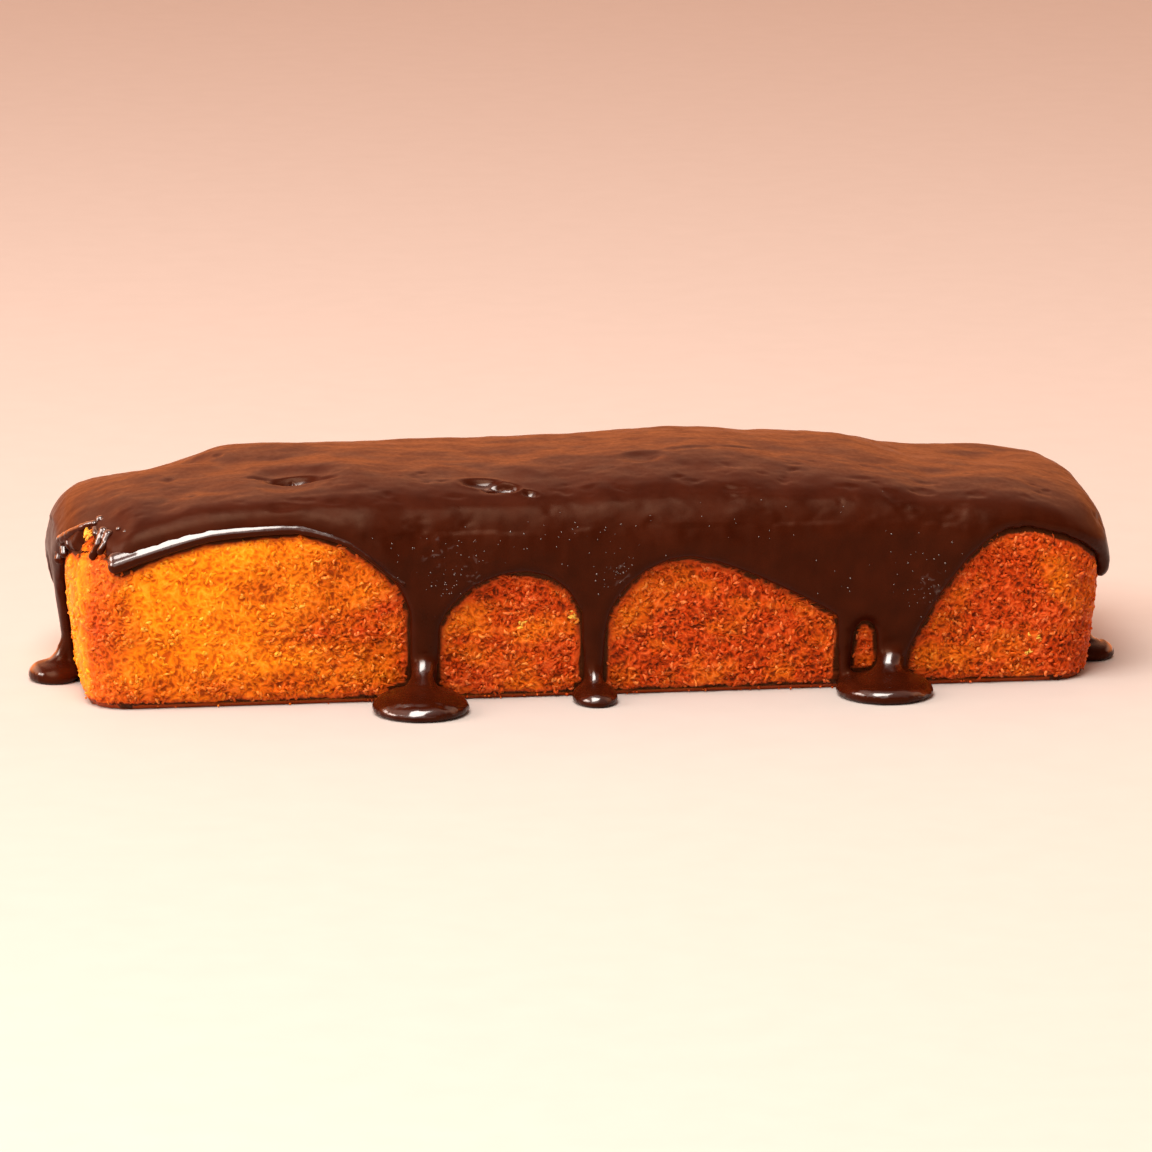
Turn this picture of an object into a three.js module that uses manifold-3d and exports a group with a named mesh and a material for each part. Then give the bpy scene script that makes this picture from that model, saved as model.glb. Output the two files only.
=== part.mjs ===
// A loaf-shaped carrot cake under a poured chocolate glaze that runs down its sides and pools at its foot.
// Millimetres, +Z up, X along the loaf, -Y its front. The origin is the centre of the flat base.

import * as THREE from "three";
import { mergeVertices } from "three/addons/utils/BufferGeometryUtils.js";
import Module from "manifold-3d";

const wasm = await Module();
wasm.setup();

// Loaf: a wall that leans outwards, at an even distance from a core rectangle, under a domed top
const CORE_HALF_LENGTH = 128;
const CORE_HALF_WIDTH = 32;
const SPINE_HALF_LENGTH = CORE_HALF_LENGTH - CORE_HALF_WIDTH;
const BASE_OUT = 12;
const RIM_OUT = 18;
const RIM_HEIGHT = 49;
const BASE_ROUND = 2.5;

// Dome: the ridge's height along the loaf, and the wall's top, which sinks towards each corner
const RIDGE = [[-96, 57], [-60, 59.5], [-20, 59], [35, 61], [62, 58.8], [78, 58.4], [96, 54.7]];
const WALL_TOP = { front: 48, back: 44, left: 44, right: 44 };
const CORNER_SINK = { frontLeft: 13, frontRight: 9, backLeft: 12, backRight: 3 };
const CORNER_SINK_REACH = 25;
const DOME_POWER = 2.6;
const DOME_ROOT = 0.48;
const SHOULDER_ROUND = 4.5;

// Uneven rise of the batter: place on the top, reach and height of each swell or hollow
const SWELLS = [
  { x: -92, y: 20, reach: 14, height: 2.8 },
  { x: -118, y: 27, reach: 15, height: -5 },
  { x: 116, y: 18, reach: 20, height: -5.2 },
  { x: 138, y: 12, reach: 13, height: 1.6 },
  { x: 20, y: -20, reach: 30, height: 0.8 },
];

// Glaze: skin on the top, rounded lip along its edge, and how deep that lip is rooted before it is cut
const SKIN = 2.2;
const LIP = 3;
const LIP_FADE = 9;
const SINK = 1;
const GAP = 0.3;
const SHORTEST_EDGE = 0.12;
const FLOOR_DEPTH = 8;
const STEM_FOOT = 1;

// Spacing of the sections round the loaf and round the glaze's top, and of the columns along its edge
const LOAF_SPACING = 8.5;
const CAP_SPACING = 11;
const CORNER_CLOSER = 1.4;
const COLUMN_SPACING = 4;
const FEWEST_COLUMNS = 3;
const MOST_COLUMNS = 9;
const POOL_SEGMENTS = 18;
const PIT_SEGMENTS = 12;

// Distances for measuring on the skin, and for merging vertices
const NORMAL_STEP = 1.5;
const SEARCH_STEP = 0.25;
const SEARCH_REACH = 14;
const WELD = 1e-4;

// The path round the loaf, counted along the rim from the middle of the front, positive to the right
const QUARTER_TURN = (RIM_OUT * Math.PI) / 2;
const PERIMETER = 4 * (CORE_HALF_LENGTH + CORE_HALF_WIDTH + QUARTER_TURN);
const SIDES = [
  { start: [-1, -1], along: [1, 0], out: [0, -1], length: 2 * CORE_HALF_LENGTH },
  { start: [1, -1], along: [0, 1], out: [1, 0], length: 2 * CORE_HALF_WIDTH },
  { start: [1, 1], along: [-1, 0], out: [0, 1], length: 2 * CORE_HALF_LENGTH },
  { start: [-1, 1], along: [0, -1], out: [-1, 0], length: 2 * CORE_HALF_WIDTH },
];
const front = (x) => x;
const right = (y) => CORE_HALF_LENGTH + QUARTER_TURN + CORE_HALF_WIDTH + y;
const back = (x) => right(CORE_HALF_WIDTH) + QUARTER_TURN + CORE_HALF_LENGTH - x;
const leftFromFront = (y) => -CORE_HALF_LENGTH - QUARTER_TURN - CORE_HALF_WIDTH - y;
const leftFromBack = (y) => leftFromFront(y) + PERIMETER;
const FRONT_LEFT_CORNER = -CORE_HALF_LENGTH - QUARTER_TURN / 2;

// Openings of bare cake along the glaze's edge, in order round the loaf from the left end's drip.
// Each is an arch from one leg over its crest to the next leg. A leg falls from the crest by its drop,
// on an ellipse, or on a slope of the given power. After each arch comes a drip: down to a pool on the
// floor, or to a hanging tip at the given height.
const OPENINGS = [
  { from: leftFromFront(-4.7), crest: FRONT_LEFT_CORNER, to: front(-135.2), height: 44, drops: [24, 2.5],
    tip: 38.2 },
  { from: front(-129.6), crest: front(-87), to: front(-51.8), height: 48.4, drops: [9, 28], slopes: [2, 0],
    lip: 4 },
  { from: front(-44.2), crest: front(-20), to: front(-3.5), height: 36.2, drops: [20.5, 20.5] },
  { from: front(1.9), crest: front(25.4), to: front(67.4), height: 39.1, drops: [25, 18.5],
    slopes: [0, 1.35] },
  { from: front(71.2), crest: front(74.8), to: front(78.4), height: 19.2, drops: [10, 10], slopes: [6, 6] },
  { from: front(87), crest: front(114.7), to: front(150), height: 44, drops: [35, 13.5], slopes: [1.7, 1.85],
    tip: 26.5 },
  { from: right(-28), crest: right(-22), to: right(-17), height: 33, drops: [5, 12] },
  { from: right(-11), crest: right(10), to: right(34), height: 30, drops: [16, 10], tip: 15 },
  { from: back(128), crest: back(100), to: back(76), height: 34, drops: [14, 22] },
  { from: back(69), crest: back(45), to: back(22), height: 30, drops: [18, 14], tip: 11 },
  { from: back(13), crest: back(-14), to: back(-38), height: 35, drops: [19, 22] },
  { from: back(-46), crest: back(-74), to: back(-99), height: 33, drops: [22, 13], tip: 14 },
  { from: back(-108), crest: back(-124), to: leftFromBack(44), height: 27, drops: [8, 7], tip: 16 },
  { from: leftFromBack(34), crest: leftFromBack(16), to: leftFromBack(0.7), height: 31, drops: [10, 18] },
];

// Pools on the floor: middle, half sizes, height of the bell, and the drip that feeds it
const POOLS = [
  { x: -50.2, y: -57, halfX: 13.6, halfY: 14.4, bell: 6,
    feed: { x: -48, y: -46.2, height: 14, half: 3.1 } },
  { x: -1.2, y: -51, halfX: 6.5, halfY: 9.2, bell: 4.8,
    feed: { x: -0.8, y: -46, height: 10, half: 2.2 } },
  { x: 79.3, y: -53, halfX: 13.8, halfY: 15, bell: 5.5,
    feed: { x: 82.5, y: -46, height: 12, half: 3.4 } },
  { x: 145, y: -14, halfX: 7.5, halfY: 8, bell: 4.8,
    feed: { x: 142.2, y: -14, height: 10, half: 2.6 } },
  { x: 72, y: 53.5, halfX: 10.5, halfY: 11, bell: 5.2,
    feed: { x: 72.5, y: 46.2, height: 12, half: 3 } },
  { x: -43, y: 55.5, halfX: 12, halfY: 12.5, bell: 5.6,
    feed: { x: -42, y: 46.2, height: 13, half: 3.2 } },
  { x: -146.5, y: -2, halfX: 7.5, halfY: 9, bell: 5.4,
    feed: { x: -142.2, y: -2, height: 12, half: 2.5 } },
];
const LEAN_START = 0.5;
const LEAN_END = 0.95;

// Pits where bubbles broke in the skin: middle and half sizes of the hollow
const PITS = [
  { x: -82, y: -27.5, halfX: 4.2, halfY: 2.8, depth: 1.6 },
  { x: -26, y: -38.5, halfX: 7, halfY: 3, depth: 1.5 },
  { x: -116, y: -14, halfX: 2.4, halfY: 1.8, depth: 1.3 },
];
const PIT_HEADROOM = 1.2;

// Colours and finish
const CAKE_FINISH = { color: 0xc96a1c, roughness: 0.9, metalness: 0 };
const GLAZE_FINISH = { color: 0x3a1a0c, roughness: 0.25, metalness: 0 };

/** Height of the ridge at a place along the loaf, eased from one stated point to the next. */
function ridgeHeight(x) {
  let height = RIDGE[0][1];
  for (let i = 1; i < RIDGE.length; i += 1) {
    const step = THREE.MathUtils.smoothstep(x, RIDGE[i - 1][0], RIDGE[i][0]);
    height += (RIDGE[i][1] - RIDGE[i - 1][1]) * step;
  }
  return height;
}

/** Sum of the swells and hollows at a place on the top. */
function swell(x, y) {
  let height = 0;
  for (const lump of SWELLS) {
    const away = Math.hypot(x - lump.x, y - lump.y) / lump.reach;
    height += lump.height * Math.exp(-away * away);
  }
  return height;
}

/** Distance of the wall from the core at a height. */
function wallOut(z) {
  return BASE_OUT + ((RIM_OUT - BASE_OUT) * z) / RIM_HEIGHT;
}

/** Height of the wall's top where the wall faces the given way. */
function wallTopHeight(core, out) {
  const side = out.y < 0 ? WALL_TOP.front : WALL_TOP.back;
  const end = out.x < 0 ? WALL_TOP.left : WALL_TOP.right;
  let height = THREE.MathUtils.lerp(side, end, out.x * out.x);
  const rim = core.clone().addScaledVector(out, RIM_OUT);
  const corner = RIM_OUT * Math.SQRT1_2;
  for (const [alongX, alongY, sink] of [
    [-1, -1, CORNER_SINK.frontLeft],
    [1, -1, CORNER_SINK.frontRight],
    [-1, 1, CORNER_SINK.backLeft],
    [1, 1, CORNER_SINK.backRight],
  ]) {
    const place = new THREE.Vector2(
      alongX * (CORE_HALF_LENGTH + corner),
      alongY * (CORE_HALF_WIDTH + corner),
    );
    const away = rim.distanceTo(place) / CORNER_SINK_REACH;
    height -= sink * Math.exp(-away * away);
  }
  return height;
}

/** The loaf's upright section at a place round the rim. */
function station(s) {
  let rest = THREE.MathUtils.euclideanModulo(s + CORE_HALF_LENGTH, PERIMETER);
  for (const side of SIDES) {
    const run = Math.min(rest, side.length);
    const turn = Math.min(Math.max(rest - side.length, 0), QUARTER_TURN) / RIM_OUT;
    rest -= side.length + QUARTER_TURN;
    if (rest > 0) continue;
    const core = new THREE.Vector2(side.start[0] * CORE_HALF_LENGTH, side.start[1] * CORE_HALF_WIDTH);
    core.x += side.along[0] * run;
    core.y += side.along[1] * run;
    const out = new THREE.Vector2(
      side.out[0] * Math.cos(turn) + side.along[0] * Math.sin(turn),
      side.out[1] * Math.cos(turn) + side.along[1] * Math.sin(turn),
    );
    const spine = new THREE.Vector2(
      THREE.MathUtils.clamp(core.x, -SPINE_HALF_LENGTH, SPINE_HALF_LENGTH),
      0,
    );
    const wallTop = wallTopHeight(core, out);
    const rim = core.clone().addScaledVector(out, wallOut(wallTop));
    return { core, out, spine, wallTop, rim };
  }
  throw new Error("no side holds this place");
}

/** Length of a section's way from the rim in to the spine. */
function inwardLength(place) {
  return place.rim.distanceTo(place.spine);
}

/** A point of a section before its shoulder is rounded: down the wall, or in over the dome if negative. */
function sharpPoint(place, down) {
  if (down >= 0) {
    const z = place.wallTop - down;
    const plan = place.core.clone().addScaledVector(place.out, wallOut(z));
    return new THREE.Vector3(plan.x, plan.y, z);
  }
  const share = Math.max(1 + down / inwardLength(place), 0);
  const plan = new THREE.Vector2().lerpVectors(place.spine, place.rim, share);
  const rise = Math.pow(1 - Math.pow(share, DOME_POWER), DOME_ROOT);
  const even = THREE.MathUtils.lerp(place.wallTop, ridgeHeight(place.spine.x), rise);
  return new THREE.Vector3(plan.x, plan.y, even + swell(plan.x, plan.y) * rise);
}

/** A point of the loaf's skin, with the shoulder rounded. */
function skinPoint(s, down) {
  const place = station(s);
  const point = sharpPoint(place, down);
  const inFromSpine = inwardLength(place) + down;
  const round = Math.min(SHOULDER_ROUND, Math.max(inFromSpine, 0));
  point.add(sharpPoint(place, down - round));
  point.add(sharpPoint(place, down + round));
  return point.multiplyScalar(1 / 3);
}

/** Outward direction of the loaf's skin. */
function skinNormal(s, down) {
  const along = skinPoint(s + NORMAL_STEP, down).sub(skinPoint(s - NORMAL_STEP, down));
  const up = skinPoint(s, down - NORMAL_STEP).sub(skinPoint(s, down + NORMAL_STEP));
  return along.cross(up).normalize();
}

/** A point at a distance outside the loaf's skin. */
function offsetPoint(s, down, away) {
  return skinPoint(s, down).addScaledVector(skinNormal(s, down), away);
}

/** The end of a section on the ridge, at a distance above it. */
function ridgePoint(s, above) {
  const { x, y } = station(s).spine;
  return new THREE.Vector3(x, y, ridgeHeight(x) + swell(x, y) + above);
}

/** A closed surface made ring by ring from the lowest, each ring counted the same way round. */
class Surface {
  constructor() {
    this.points = [];
    this.triangles = [];
  }

  ring(points) {
    const first = this.points.length;
    this.points.push(...points);
    return points.map((_, i) => first + i);
  }

  /** Joins two rings of like counts, or a ring and a single point, folding each facet outwards. */
  stitch(lower, upper) {
    const count = Math.max(lower.length, upper.length);
    for (let i = 0; i < count; i += 1) {
      const j = (i + 1) % count;
      const [a, b] = [lower[i % lower.length], lower[j % lower.length]];
      const [c, d] = [upper[j % upper.length], upper[i % upper.length]];
      const rising = this.points[c].clone().sub(this.points[a]);
      const falling = this.points[d].clone().sub(this.points[b]);
      const outward = rising.cross(falling);
      const between = this.points[a].clone().add(this.points[c]).sub(this.points[b]).sub(this.points[d]);
      if (between.dot(outward) > 0) {
        this.triangles.push([a, b, c], [a, c, d]);
      } else {
        this.triangles.push([a, b, d], [b, c, d]);
      }
    }
  }

  /** Joins two rings of unlike counts by their places round the rim. */
  zip(lower, lowerPlaces, upper, upperPlaces) {
    let i = 0;
    let j = 0;
    const lowerAt = (k) => lowerPlaces[k % lower.length] + (k < lower.length ? 0 : PERIMETER);
    const upperAt = (k) => upperPlaces[k % upper.length] + (k < upper.length ? 0 : PERIMETER);
    while (i < lower.length || j < upper.length) {
      const a = lower[i % lower.length];
      const d = upper[j % upper.length];
      const lowerNext = j >= upper.length || (i < lower.length && lowerAt(i + 1) <= upperAt(j + 1));
      if (lowerNext) {
        i += 1;
        this.triangles.push([a, lower[i % lower.length], d]);
      } else {
        j += 1;
        this.triangles.push([a, upper[j % upper.length], d]);
      }
    }
  }

  geometry() {
    const loose = new THREE.BufferGeometry();
    loose.setFromPoints(this.points);
    loose.setIndex(this.triangles.flat());
    return weld(loose);
  }
}

/** Merges a geometry's shared vertices and drops the triangles that this flattens. */
function weld(geometry) {
  geometry.deleteAttribute("normal");
  geometry.deleteAttribute("uv");
  const merged = mergeVertices(geometry, WELD);
  const index = merged.index.array;
  const kept = [];
  for (let i = 0; i < index.length; i += 3) {
    const [a, b, c] = [index[i], index[i + 1], index[i + 2]];
    if (a !== b && b !== c && c !== a) kept.push(a, b, c);
  }
  merged.setIndex(kept);
  return merged;
}

/** A geometry as a solid that can be joined and cut. */
function solid(geometry) {
  const vertProperties = new Float32Array(geometry.attributes.position.array);
  const triVerts = new Uint32Array(geometry.index.array);
  return new wasm.Manifold(new wasm.Mesh({ numProp: 3, vertProperties, triVerts }));
}

/** A joined or cut solid as a geometry, with the slivers along its seams closed up. */
function geometryOf(body) {
  const mesh = body.getMesh();
  const at = (i) => new THREE.Vector3().fromArray(mesh.vertProperties, 3 * i);
  const keeper = Array.from({ length: mesh.vertProperties.length / 3 }, (_, i) => i);
  const root = (i) => (keeper[i] === i ? i : root(keeper[i]));
  for (let i = 0; i < mesh.triVerts.length; i += 3) {
    const corners = [mesh.triVerts[i], mesh.triVerts[i + 1], mesh.triVerts[i + 2]];
    for (const [k, a] of corners.entries()) {
      const b = corners[(k + 1) % corners.length];
      if (at(root(a)).distanceTo(at(root(b))) < SHORTEST_EDGE) keeper[root(b)] = root(a);
    }
  }
  const faces = new Map();
  for (let i = 0; i < mesh.triVerts.length; i += 3) {
    const face = [root(mesh.triVerts[i]), root(mesh.triVerts[i + 1]), root(mesh.triVerts[i + 2])];
    if (new Set(face).size < face.length) continue;
    const key = [...face].sort((a, b) => a - b).join();
    if (!faces.delete(key)) faces.set(key, face);
  }
  const geometry = new THREE.BufferGeometry();
  geometry.setAttribute("position", new THREE.BufferAttribute(mesh.vertProperties, 3));
  geometry.setIndex([...faces.values()].flat());
  return weld(geometry);
}

/** Places round the rim, alike on the front and the back, at about the given spacing. */
function evenPlaces(spacing) {
  const places = [];
  let start = -CORE_HALF_LENGTH;
  for (const side of SIDES) {
    const sideSteps = 2 * Math.round(side.length / spacing / 2);
    const cornerSteps = Math.max(2, Math.round((CORNER_CLOSER * QUARTER_TURN) / spacing));
    for (let i = 0; i < sideSteps; i += 1) {
      places.push(start + (side.length * i) / sideSteps);
    }
    start += side.length;
    for (let i = 0; i < cornerSteps; i += 1) {
      places.push(start + (QUARTER_TURN * i) / cornerSteps);
    }
    start += QUARTER_TURN;
  }
  return places;
}

/** The loaf, grown all over by a distance. */
function loaf(grow) {
  const surface = new Surface();
  const places = evenPlaces(LOAF_SPACING);
  const baseTurns = [0, Math.PI / 4];
  const wallShares = [1, 0.5, 0.08];
  const domeSteps = [-1.5, -4, -8, -13, -20, -30, -40];
  const rings = [surface.ring([new THREE.Vector3(0, 0, -grow)])];

  for (const turn of baseTurns) {
    const lift = BASE_ROUND * (1 - Math.cos(turn));
    const tuck = BASE_ROUND * (1 - Math.sin(turn));
    rings.push(surface.ring(places.map((s) => {
      const place = station(s);
      const plan = place.core.clone().addScaledVector(place.out, wallOut(0) - tuck + grow);
      return new THREE.Vector3(plan.x, plan.y, lift - grow);
    })));
  }
  for (const share of wallShares) {
    rings.push(surface.ring(places.map((s) => {
      const depth = station(s).wallTop - BASE_ROUND;
      return offsetPoint(s, depth * share, grow);
    })));
  }
  for (const down of domeSteps) {
    rings.push(surface.ring(places.map((s) => offsetPoint(s, down, grow))));
  }
  rings.push(surface.ring(places.map((s) => ridgePoint(s, grow))));
  for (let i = 1; i < rings.length; i += 1) {
    surface.stitch(rings[i - 1], rings[i]);
  }
  return surface.geometry();
}

/** How far down a section lies the glaze's edge, given its height: on the wall, or in on the dome. */
function edgeDepth(s, height) {
  const place = station(s);
  if (height <= place.wallTop) return place.wallTop - height;
  let down = 0;
  while (down > -SEARCH_REACH && sharpPoint(place, down).z < height) {
    down -= SEARCH_STEP;
  }
  return down;
}

/** Fall of an arch from its crest, at a share of the way to its leg: an ellipse, or a slope of a power. */
function archFall(share, drop, slope) {
  if (slope > 0) return drop * Math.pow(share, slope);
  return drop * (1 - Math.sqrt(1 - share * share));
}

/** The glaze's edge as columns round the loaf, each with its height, set close where the edge is steep. */
function edgeColumns() {
  const dripShares = [0, 0.16, 0.5, 0.84, 1];
  const columns = [];
  OPENINGS.forEach((opening, number) => {
    const slopes = opening.slopes ?? [0, 0];
    const lip = opening.lip ?? LIP;
    for (const [half, leg] of [opening.from, opening.to].entries()) {
      const reach = leg - opening.crest;
      const wanted = Math.round(Math.abs(reach) / COLUMN_SPACING);
      const steps = THREE.MathUtils.clamp(wanted, FEWEST_COLUMNS, MOST_COLUMNS);
      for (let i = half; i < steps; i += 1) {
        const turn = half === 0 ? steps - 1 - i : i;
        const share = Math.sin(((Math.PI / 2) * turn) / steps);
        const height = opening.height - archFall(share, opening.drops[half], slopes[half]);
        const leg = opening.height - opening.drops[half];
        columns.push({ s: opening.crest + reach * share, height, lip, leg, toFloor: false });
      }
    }
    const following = OPENINGS[(number + 1) % OPENINGS.length];
    const next = following.from + (number + 1 === OPENINGS.length ? PERIMETER : 0);
    const legs = [opening.height - opening.drops[1], following.height - following.drops[0]];
    for (const share of dripShares) {
      const s = THREE.MathUtils.lerp(opening.to, next, share);
      const sag = 1 - Math.sqrt(1 - (2 * share - 1) ** 2);
      const toFloor = opening.tip === undefined;
      const leg = THREE.MathUtils.lerp(legs[0], legs[1], share);
      const height = toFloor ? STEM_FOOT : opening.tip + (leg - opening.tip) * sag;
      const easedLip = THREE.MathUtils.lerp(lip, following.lip ?? LIP, share);
      columns.push({ s, height, lip: easedLip, leg, toFloor });
    }
  });
  return columns;
}

/** Distance from a place on the unrolled skin to the glaze's edge. */
function edgeDistance(edge, s, down) {
  const point = new THREE.Vector3(s, down, 0);
  const nearest = new THREE.Vector3();
  const line = new THREE.Line3();
  let least = Infinity;
  for (let i = 0; i < edge.length; i += 1) {
    const a = edge[i];
    const b = edge[(i + 1) % edge.length];
    for (const wrap of [-PERIMETER, 0, PERIMETER]) {
      const over = i + 1 === edge.length ? PERIMETER : 0;
      line.start.set(a.s + wrap, a.down, 0);
      line.end.set(b.s + wrap + over, b.down, 0);
      line.closestPointToPoint(point, true, nearest);
      least = Math.min(least, nearest.distanceTo(point));
    }
  }
  return least;
}

/** Thickness of the glaze at a distance from its edge, where a round lip is rooted in the loaf. */
function glazeThickness(distance, lip) {
  const full = SKIN + (lip - SKIN) * Math.exp(-((distance / LIP_FADE) ** 2));
  const inside = Math.min(distance / lip, 1);
  return (full + SINK) * Math.sqrt(1 - (1 - inside) ** 2) - SINK;
}

/** The glaze's coat: its outside from edge to ridge, closed by an inner side that lies in the loaf. */
function coat() {
  const lipSteps = [0, 0.5, 1.7, 3.6];
  const legRises = [0, 4, 10];
  const shoulderSteps = [3, 0.5, -2, -5, -9, -15];
  const leastStep = 1.1;
  const capSteps = [-23, -34];
  const columns = edgeColumns();
  const capPlaces = evenPlaces(CAP_SPACING);
  const surface = new Surface();

  const edge = columns.map((column) => {
    const down = edgeDepth(column.s, column.height);
    return { s: column.s, down: down + (column.toFloor ? FLOOR_DEPTH : 0) };
  });
  const rowDepths = (column) => {
    const bottom = edgeDepth(column.s, column.height);
    const rows = lipSteps.map((step) => bottom - step);
    const legRows = legRises.map((rise) => edgeDepth(column.s, column.leg + rise));
    for (const depth of [...legRows, ...shoulderSteps]) {
      rows.push(Math.min(depth, rows.at(-1) - leastStep));
    }
    return rows;
  };
  const depths = columns.map(rowDepths);

  const rings = [surface.ring([new THREE.Vector3(0, 0, RIM_HEIGHT / 2)])];
  for (let row = 0; row < depths[0].length; row += 1) {
    rings.push(surface.ring(columns.map((column, i) => {
      const down = depths[i][row];
      const distance = edgeDistance(edge, column.s, down);
      return offsetPoint(column.s, down, glazeThickness(distance, column.lip));
    })));
  }
  for (let i = 1; i < rings.length; i += 1) {
    surface.stitch(rings[i - 1], rings[i]);
  }

  const capRings = capSteps.map((down) => surface.ring(capPlaces.map((s) => offsetPoint(s, down, SKIN))));
  capRings.push(surface.ring(capPlaces.map((s) => ridgePoint(s, SKIN))));
  const places = columns.map((column) => column.s);
  const capStart = [...capPlaces.keys()].map((i) => {
    const s = places[0] + THREE.MathUtils.euclideanModulo(capPlaces[i] - places[0], PERIMETER);
    return { s, vertex: capRings[0][i] };
  });
  capStart.sort((a, b) => a.s - b.s);
  surface.zip(rings.at(-1), places, capStart.map((c) => c.vertex), capStart.map((c) => c.s));
  for (let i = 1; i < capRings.length; i += 1) {
    surface.stitch(capRings[i - 1], capRings[i]);
  }
  return surface.geometry();
}

/** A pool on the floor, round as a bell, drawn up into the drip that feeds it. */
function pool({ x, y, halfX, halfY, bell, feed }) {
  const foot = [[0, 0], [0.92, 0], [0.99, 0.13], [1, 0.27]];
  const dome = [[0.97, 0.45], [0.88, 0.65], [0.73, 0.81], [0.54, 0.92], [0.36, 0.98]];
  const neck = [[0.22, 0.1], [0.08, 0.4], [0.02, 0.85], [0, 0.85]];
  const profile = [...foot, ...dome].map(([out, share]) => new THREE.Vector2(out, bell * share));
  for (const [out, share] of neck) {
    profile.push(new THREE.Vector2(out, bell + (feed.height - bell) * share));
  }
  const geometry = new THREE.LatheGeometry(profile, POOL_SEGMENTS);
  geometry.rotateX(Math.PI / 2);
  const position = geometry.attributes.position;
  for (let i = 0; i < position.count; i += 1) {
    const plan = new THREE.Vector2(position.getX(i), position.getY(i));
    const z = position.getZ(i);
    const lean = THREE.MathUtils.smoothstep(z, LEAN_START * bell, LEAN_END * feed.height);
    const stem = plan.clone().normalize().multiplyScalar(z > 0 ? feed.half * lean : 0);
    const px = THREE.MathUtils.lerp(x, feed.x, lean) + plan.x * halfX + stem.x;
    const py = THREE.MathUtils.lerp(y, feed.y, lean) + plan.y * halfY + stem.y;
    position.setXYZ(i, px, py, z);
  }
  return weld(geometry);
}

/** The hollow left by a bubble that broke in the skin. */
function pit({ x, y, halfX, halfY, depth }) {
  const geometry = new THREE.SphereGeometry(1, PIT_SEGMENTS, PIT_SEGMENTS / 2);
  geometry.scale(halfX, halfY, depth + PIT_HEADROOM);
  const side = y < 0 ? front(x) : back(x);
  const inward = inwardLength(station(side)) - Math.abs(y);
  const skin = offsetPoint(side, -inward, SKIN + PIT_HEADROOM);
  geometry.translate(x, y, skin.z);
  return weld(geometry);
}

/** The glaze: coat and pools as one body, cut clear of the loaf, with its pits. */
function glaze() {
  let body = solid(coat());
  for (const place of POOLS) {
    body = body.add(solid(pool(place)));
  }
  body = body.subtract(solid(loaf(GAP)));
  for (const place of PITS) {
    body = body.subtract(solid(pit(place)));
  }
  return geometryOf(body);
}

/** A named piece with its own material. */
function piece(name, geometry, finish) {
  const mesh = new THREE.Mesh(geometry, new THREE.MeshStandardMaterial(finish));
  mesh.name = name;
  return mesh;
}

const carrotCake = new THREE.Group();
carrotCake.add(piece("cake", loaf(0), CAKE_FINISH));
carrotCake.add(piece("chocolate_glaze", glaze(), GLAZE_FINISH));

export default carrotCake;
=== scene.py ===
"""A loaf-shaped carrot cake under a poured chocolate glaze, modelled and dressed over its solids.

Sizes are in metres, in the frame of the solids: +Z up, X along the loaf and -Y its front.
"""

import logging
import math
from dataclasses import dataclass, field
from enum import Enum

import bpy
import numpy as np
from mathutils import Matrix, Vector, noise
from mathutils.bvhtree import BVHTree
from mathutils.kdtree import KDTree

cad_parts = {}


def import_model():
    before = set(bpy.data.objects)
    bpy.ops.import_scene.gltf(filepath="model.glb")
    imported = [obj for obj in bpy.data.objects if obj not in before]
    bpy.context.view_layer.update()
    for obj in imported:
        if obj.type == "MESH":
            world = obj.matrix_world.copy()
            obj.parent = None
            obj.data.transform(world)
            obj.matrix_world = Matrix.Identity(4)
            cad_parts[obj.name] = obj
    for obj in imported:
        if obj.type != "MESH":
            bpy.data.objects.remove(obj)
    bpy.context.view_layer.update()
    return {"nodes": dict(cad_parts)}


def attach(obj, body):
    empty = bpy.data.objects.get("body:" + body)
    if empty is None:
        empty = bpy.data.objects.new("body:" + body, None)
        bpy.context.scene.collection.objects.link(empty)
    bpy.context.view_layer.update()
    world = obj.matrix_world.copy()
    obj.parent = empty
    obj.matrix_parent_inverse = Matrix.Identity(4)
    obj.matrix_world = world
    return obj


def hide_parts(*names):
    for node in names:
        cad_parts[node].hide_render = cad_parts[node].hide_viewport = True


LOG = logging.getLogger("carrot_cake")
MM = 0.001
BODY = "root"
LUMP_PATTERN_STEP = 31.7
LUMP_FADE = 0.9
LUMP_SPLIT = 2.0
RIDGE_PATTERN_STEP = 17.3
NOISE_SEED = 1
Span = tuple[float, float]
Point = tuple[float, float, float]
Stop = tuple[float, float, float, float]
Colour = tuple[float, float, float, float]


def mm(*values: float) -> tuple[float, ...]:
    """Turns millimetres into metres."""
    return tuple(value * MM for value in values)


def clear_selection() -> None:
    """Leaves edit mode and deselects everything."""
    if bpy.context.mode != "OBJECT":
        bpy.ops.object.mode_set(mode="OBJECT")
    bpy.ops.object.select_all(action="DESELECT")


def take(piece: bpy.types.Object) -> None:
    """Selects one piece alone and makes it active."""
    clear_selection()
    piece.select_set(True)
    bpy.context.view_layer.objects.active = piece


def smooth_shading(piece: bpy.types.Object) -> None:
    """Shades a piece smoothly."""
    take(piece)
    bpy.ops.object.shade_smooth()


def apply_modifier(piece: bpy.types.Object, kind: str, **settings: object) -> None:
    """Adds a modifier to a piece and applies it.

    Args:
        piece: The piece to change.
        kind: Blender's name for the kind of modifier.
        settings: Values for the modifier's own settings.
    """
    take(piece)
    modifier = piece.modifiers.new(kind.lower(), kind)
    for name, value in settings.items():
        setattr(modifier, name, value)
    bpy.ops.object.modifier_apply(modifier=modifier.name)


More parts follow.
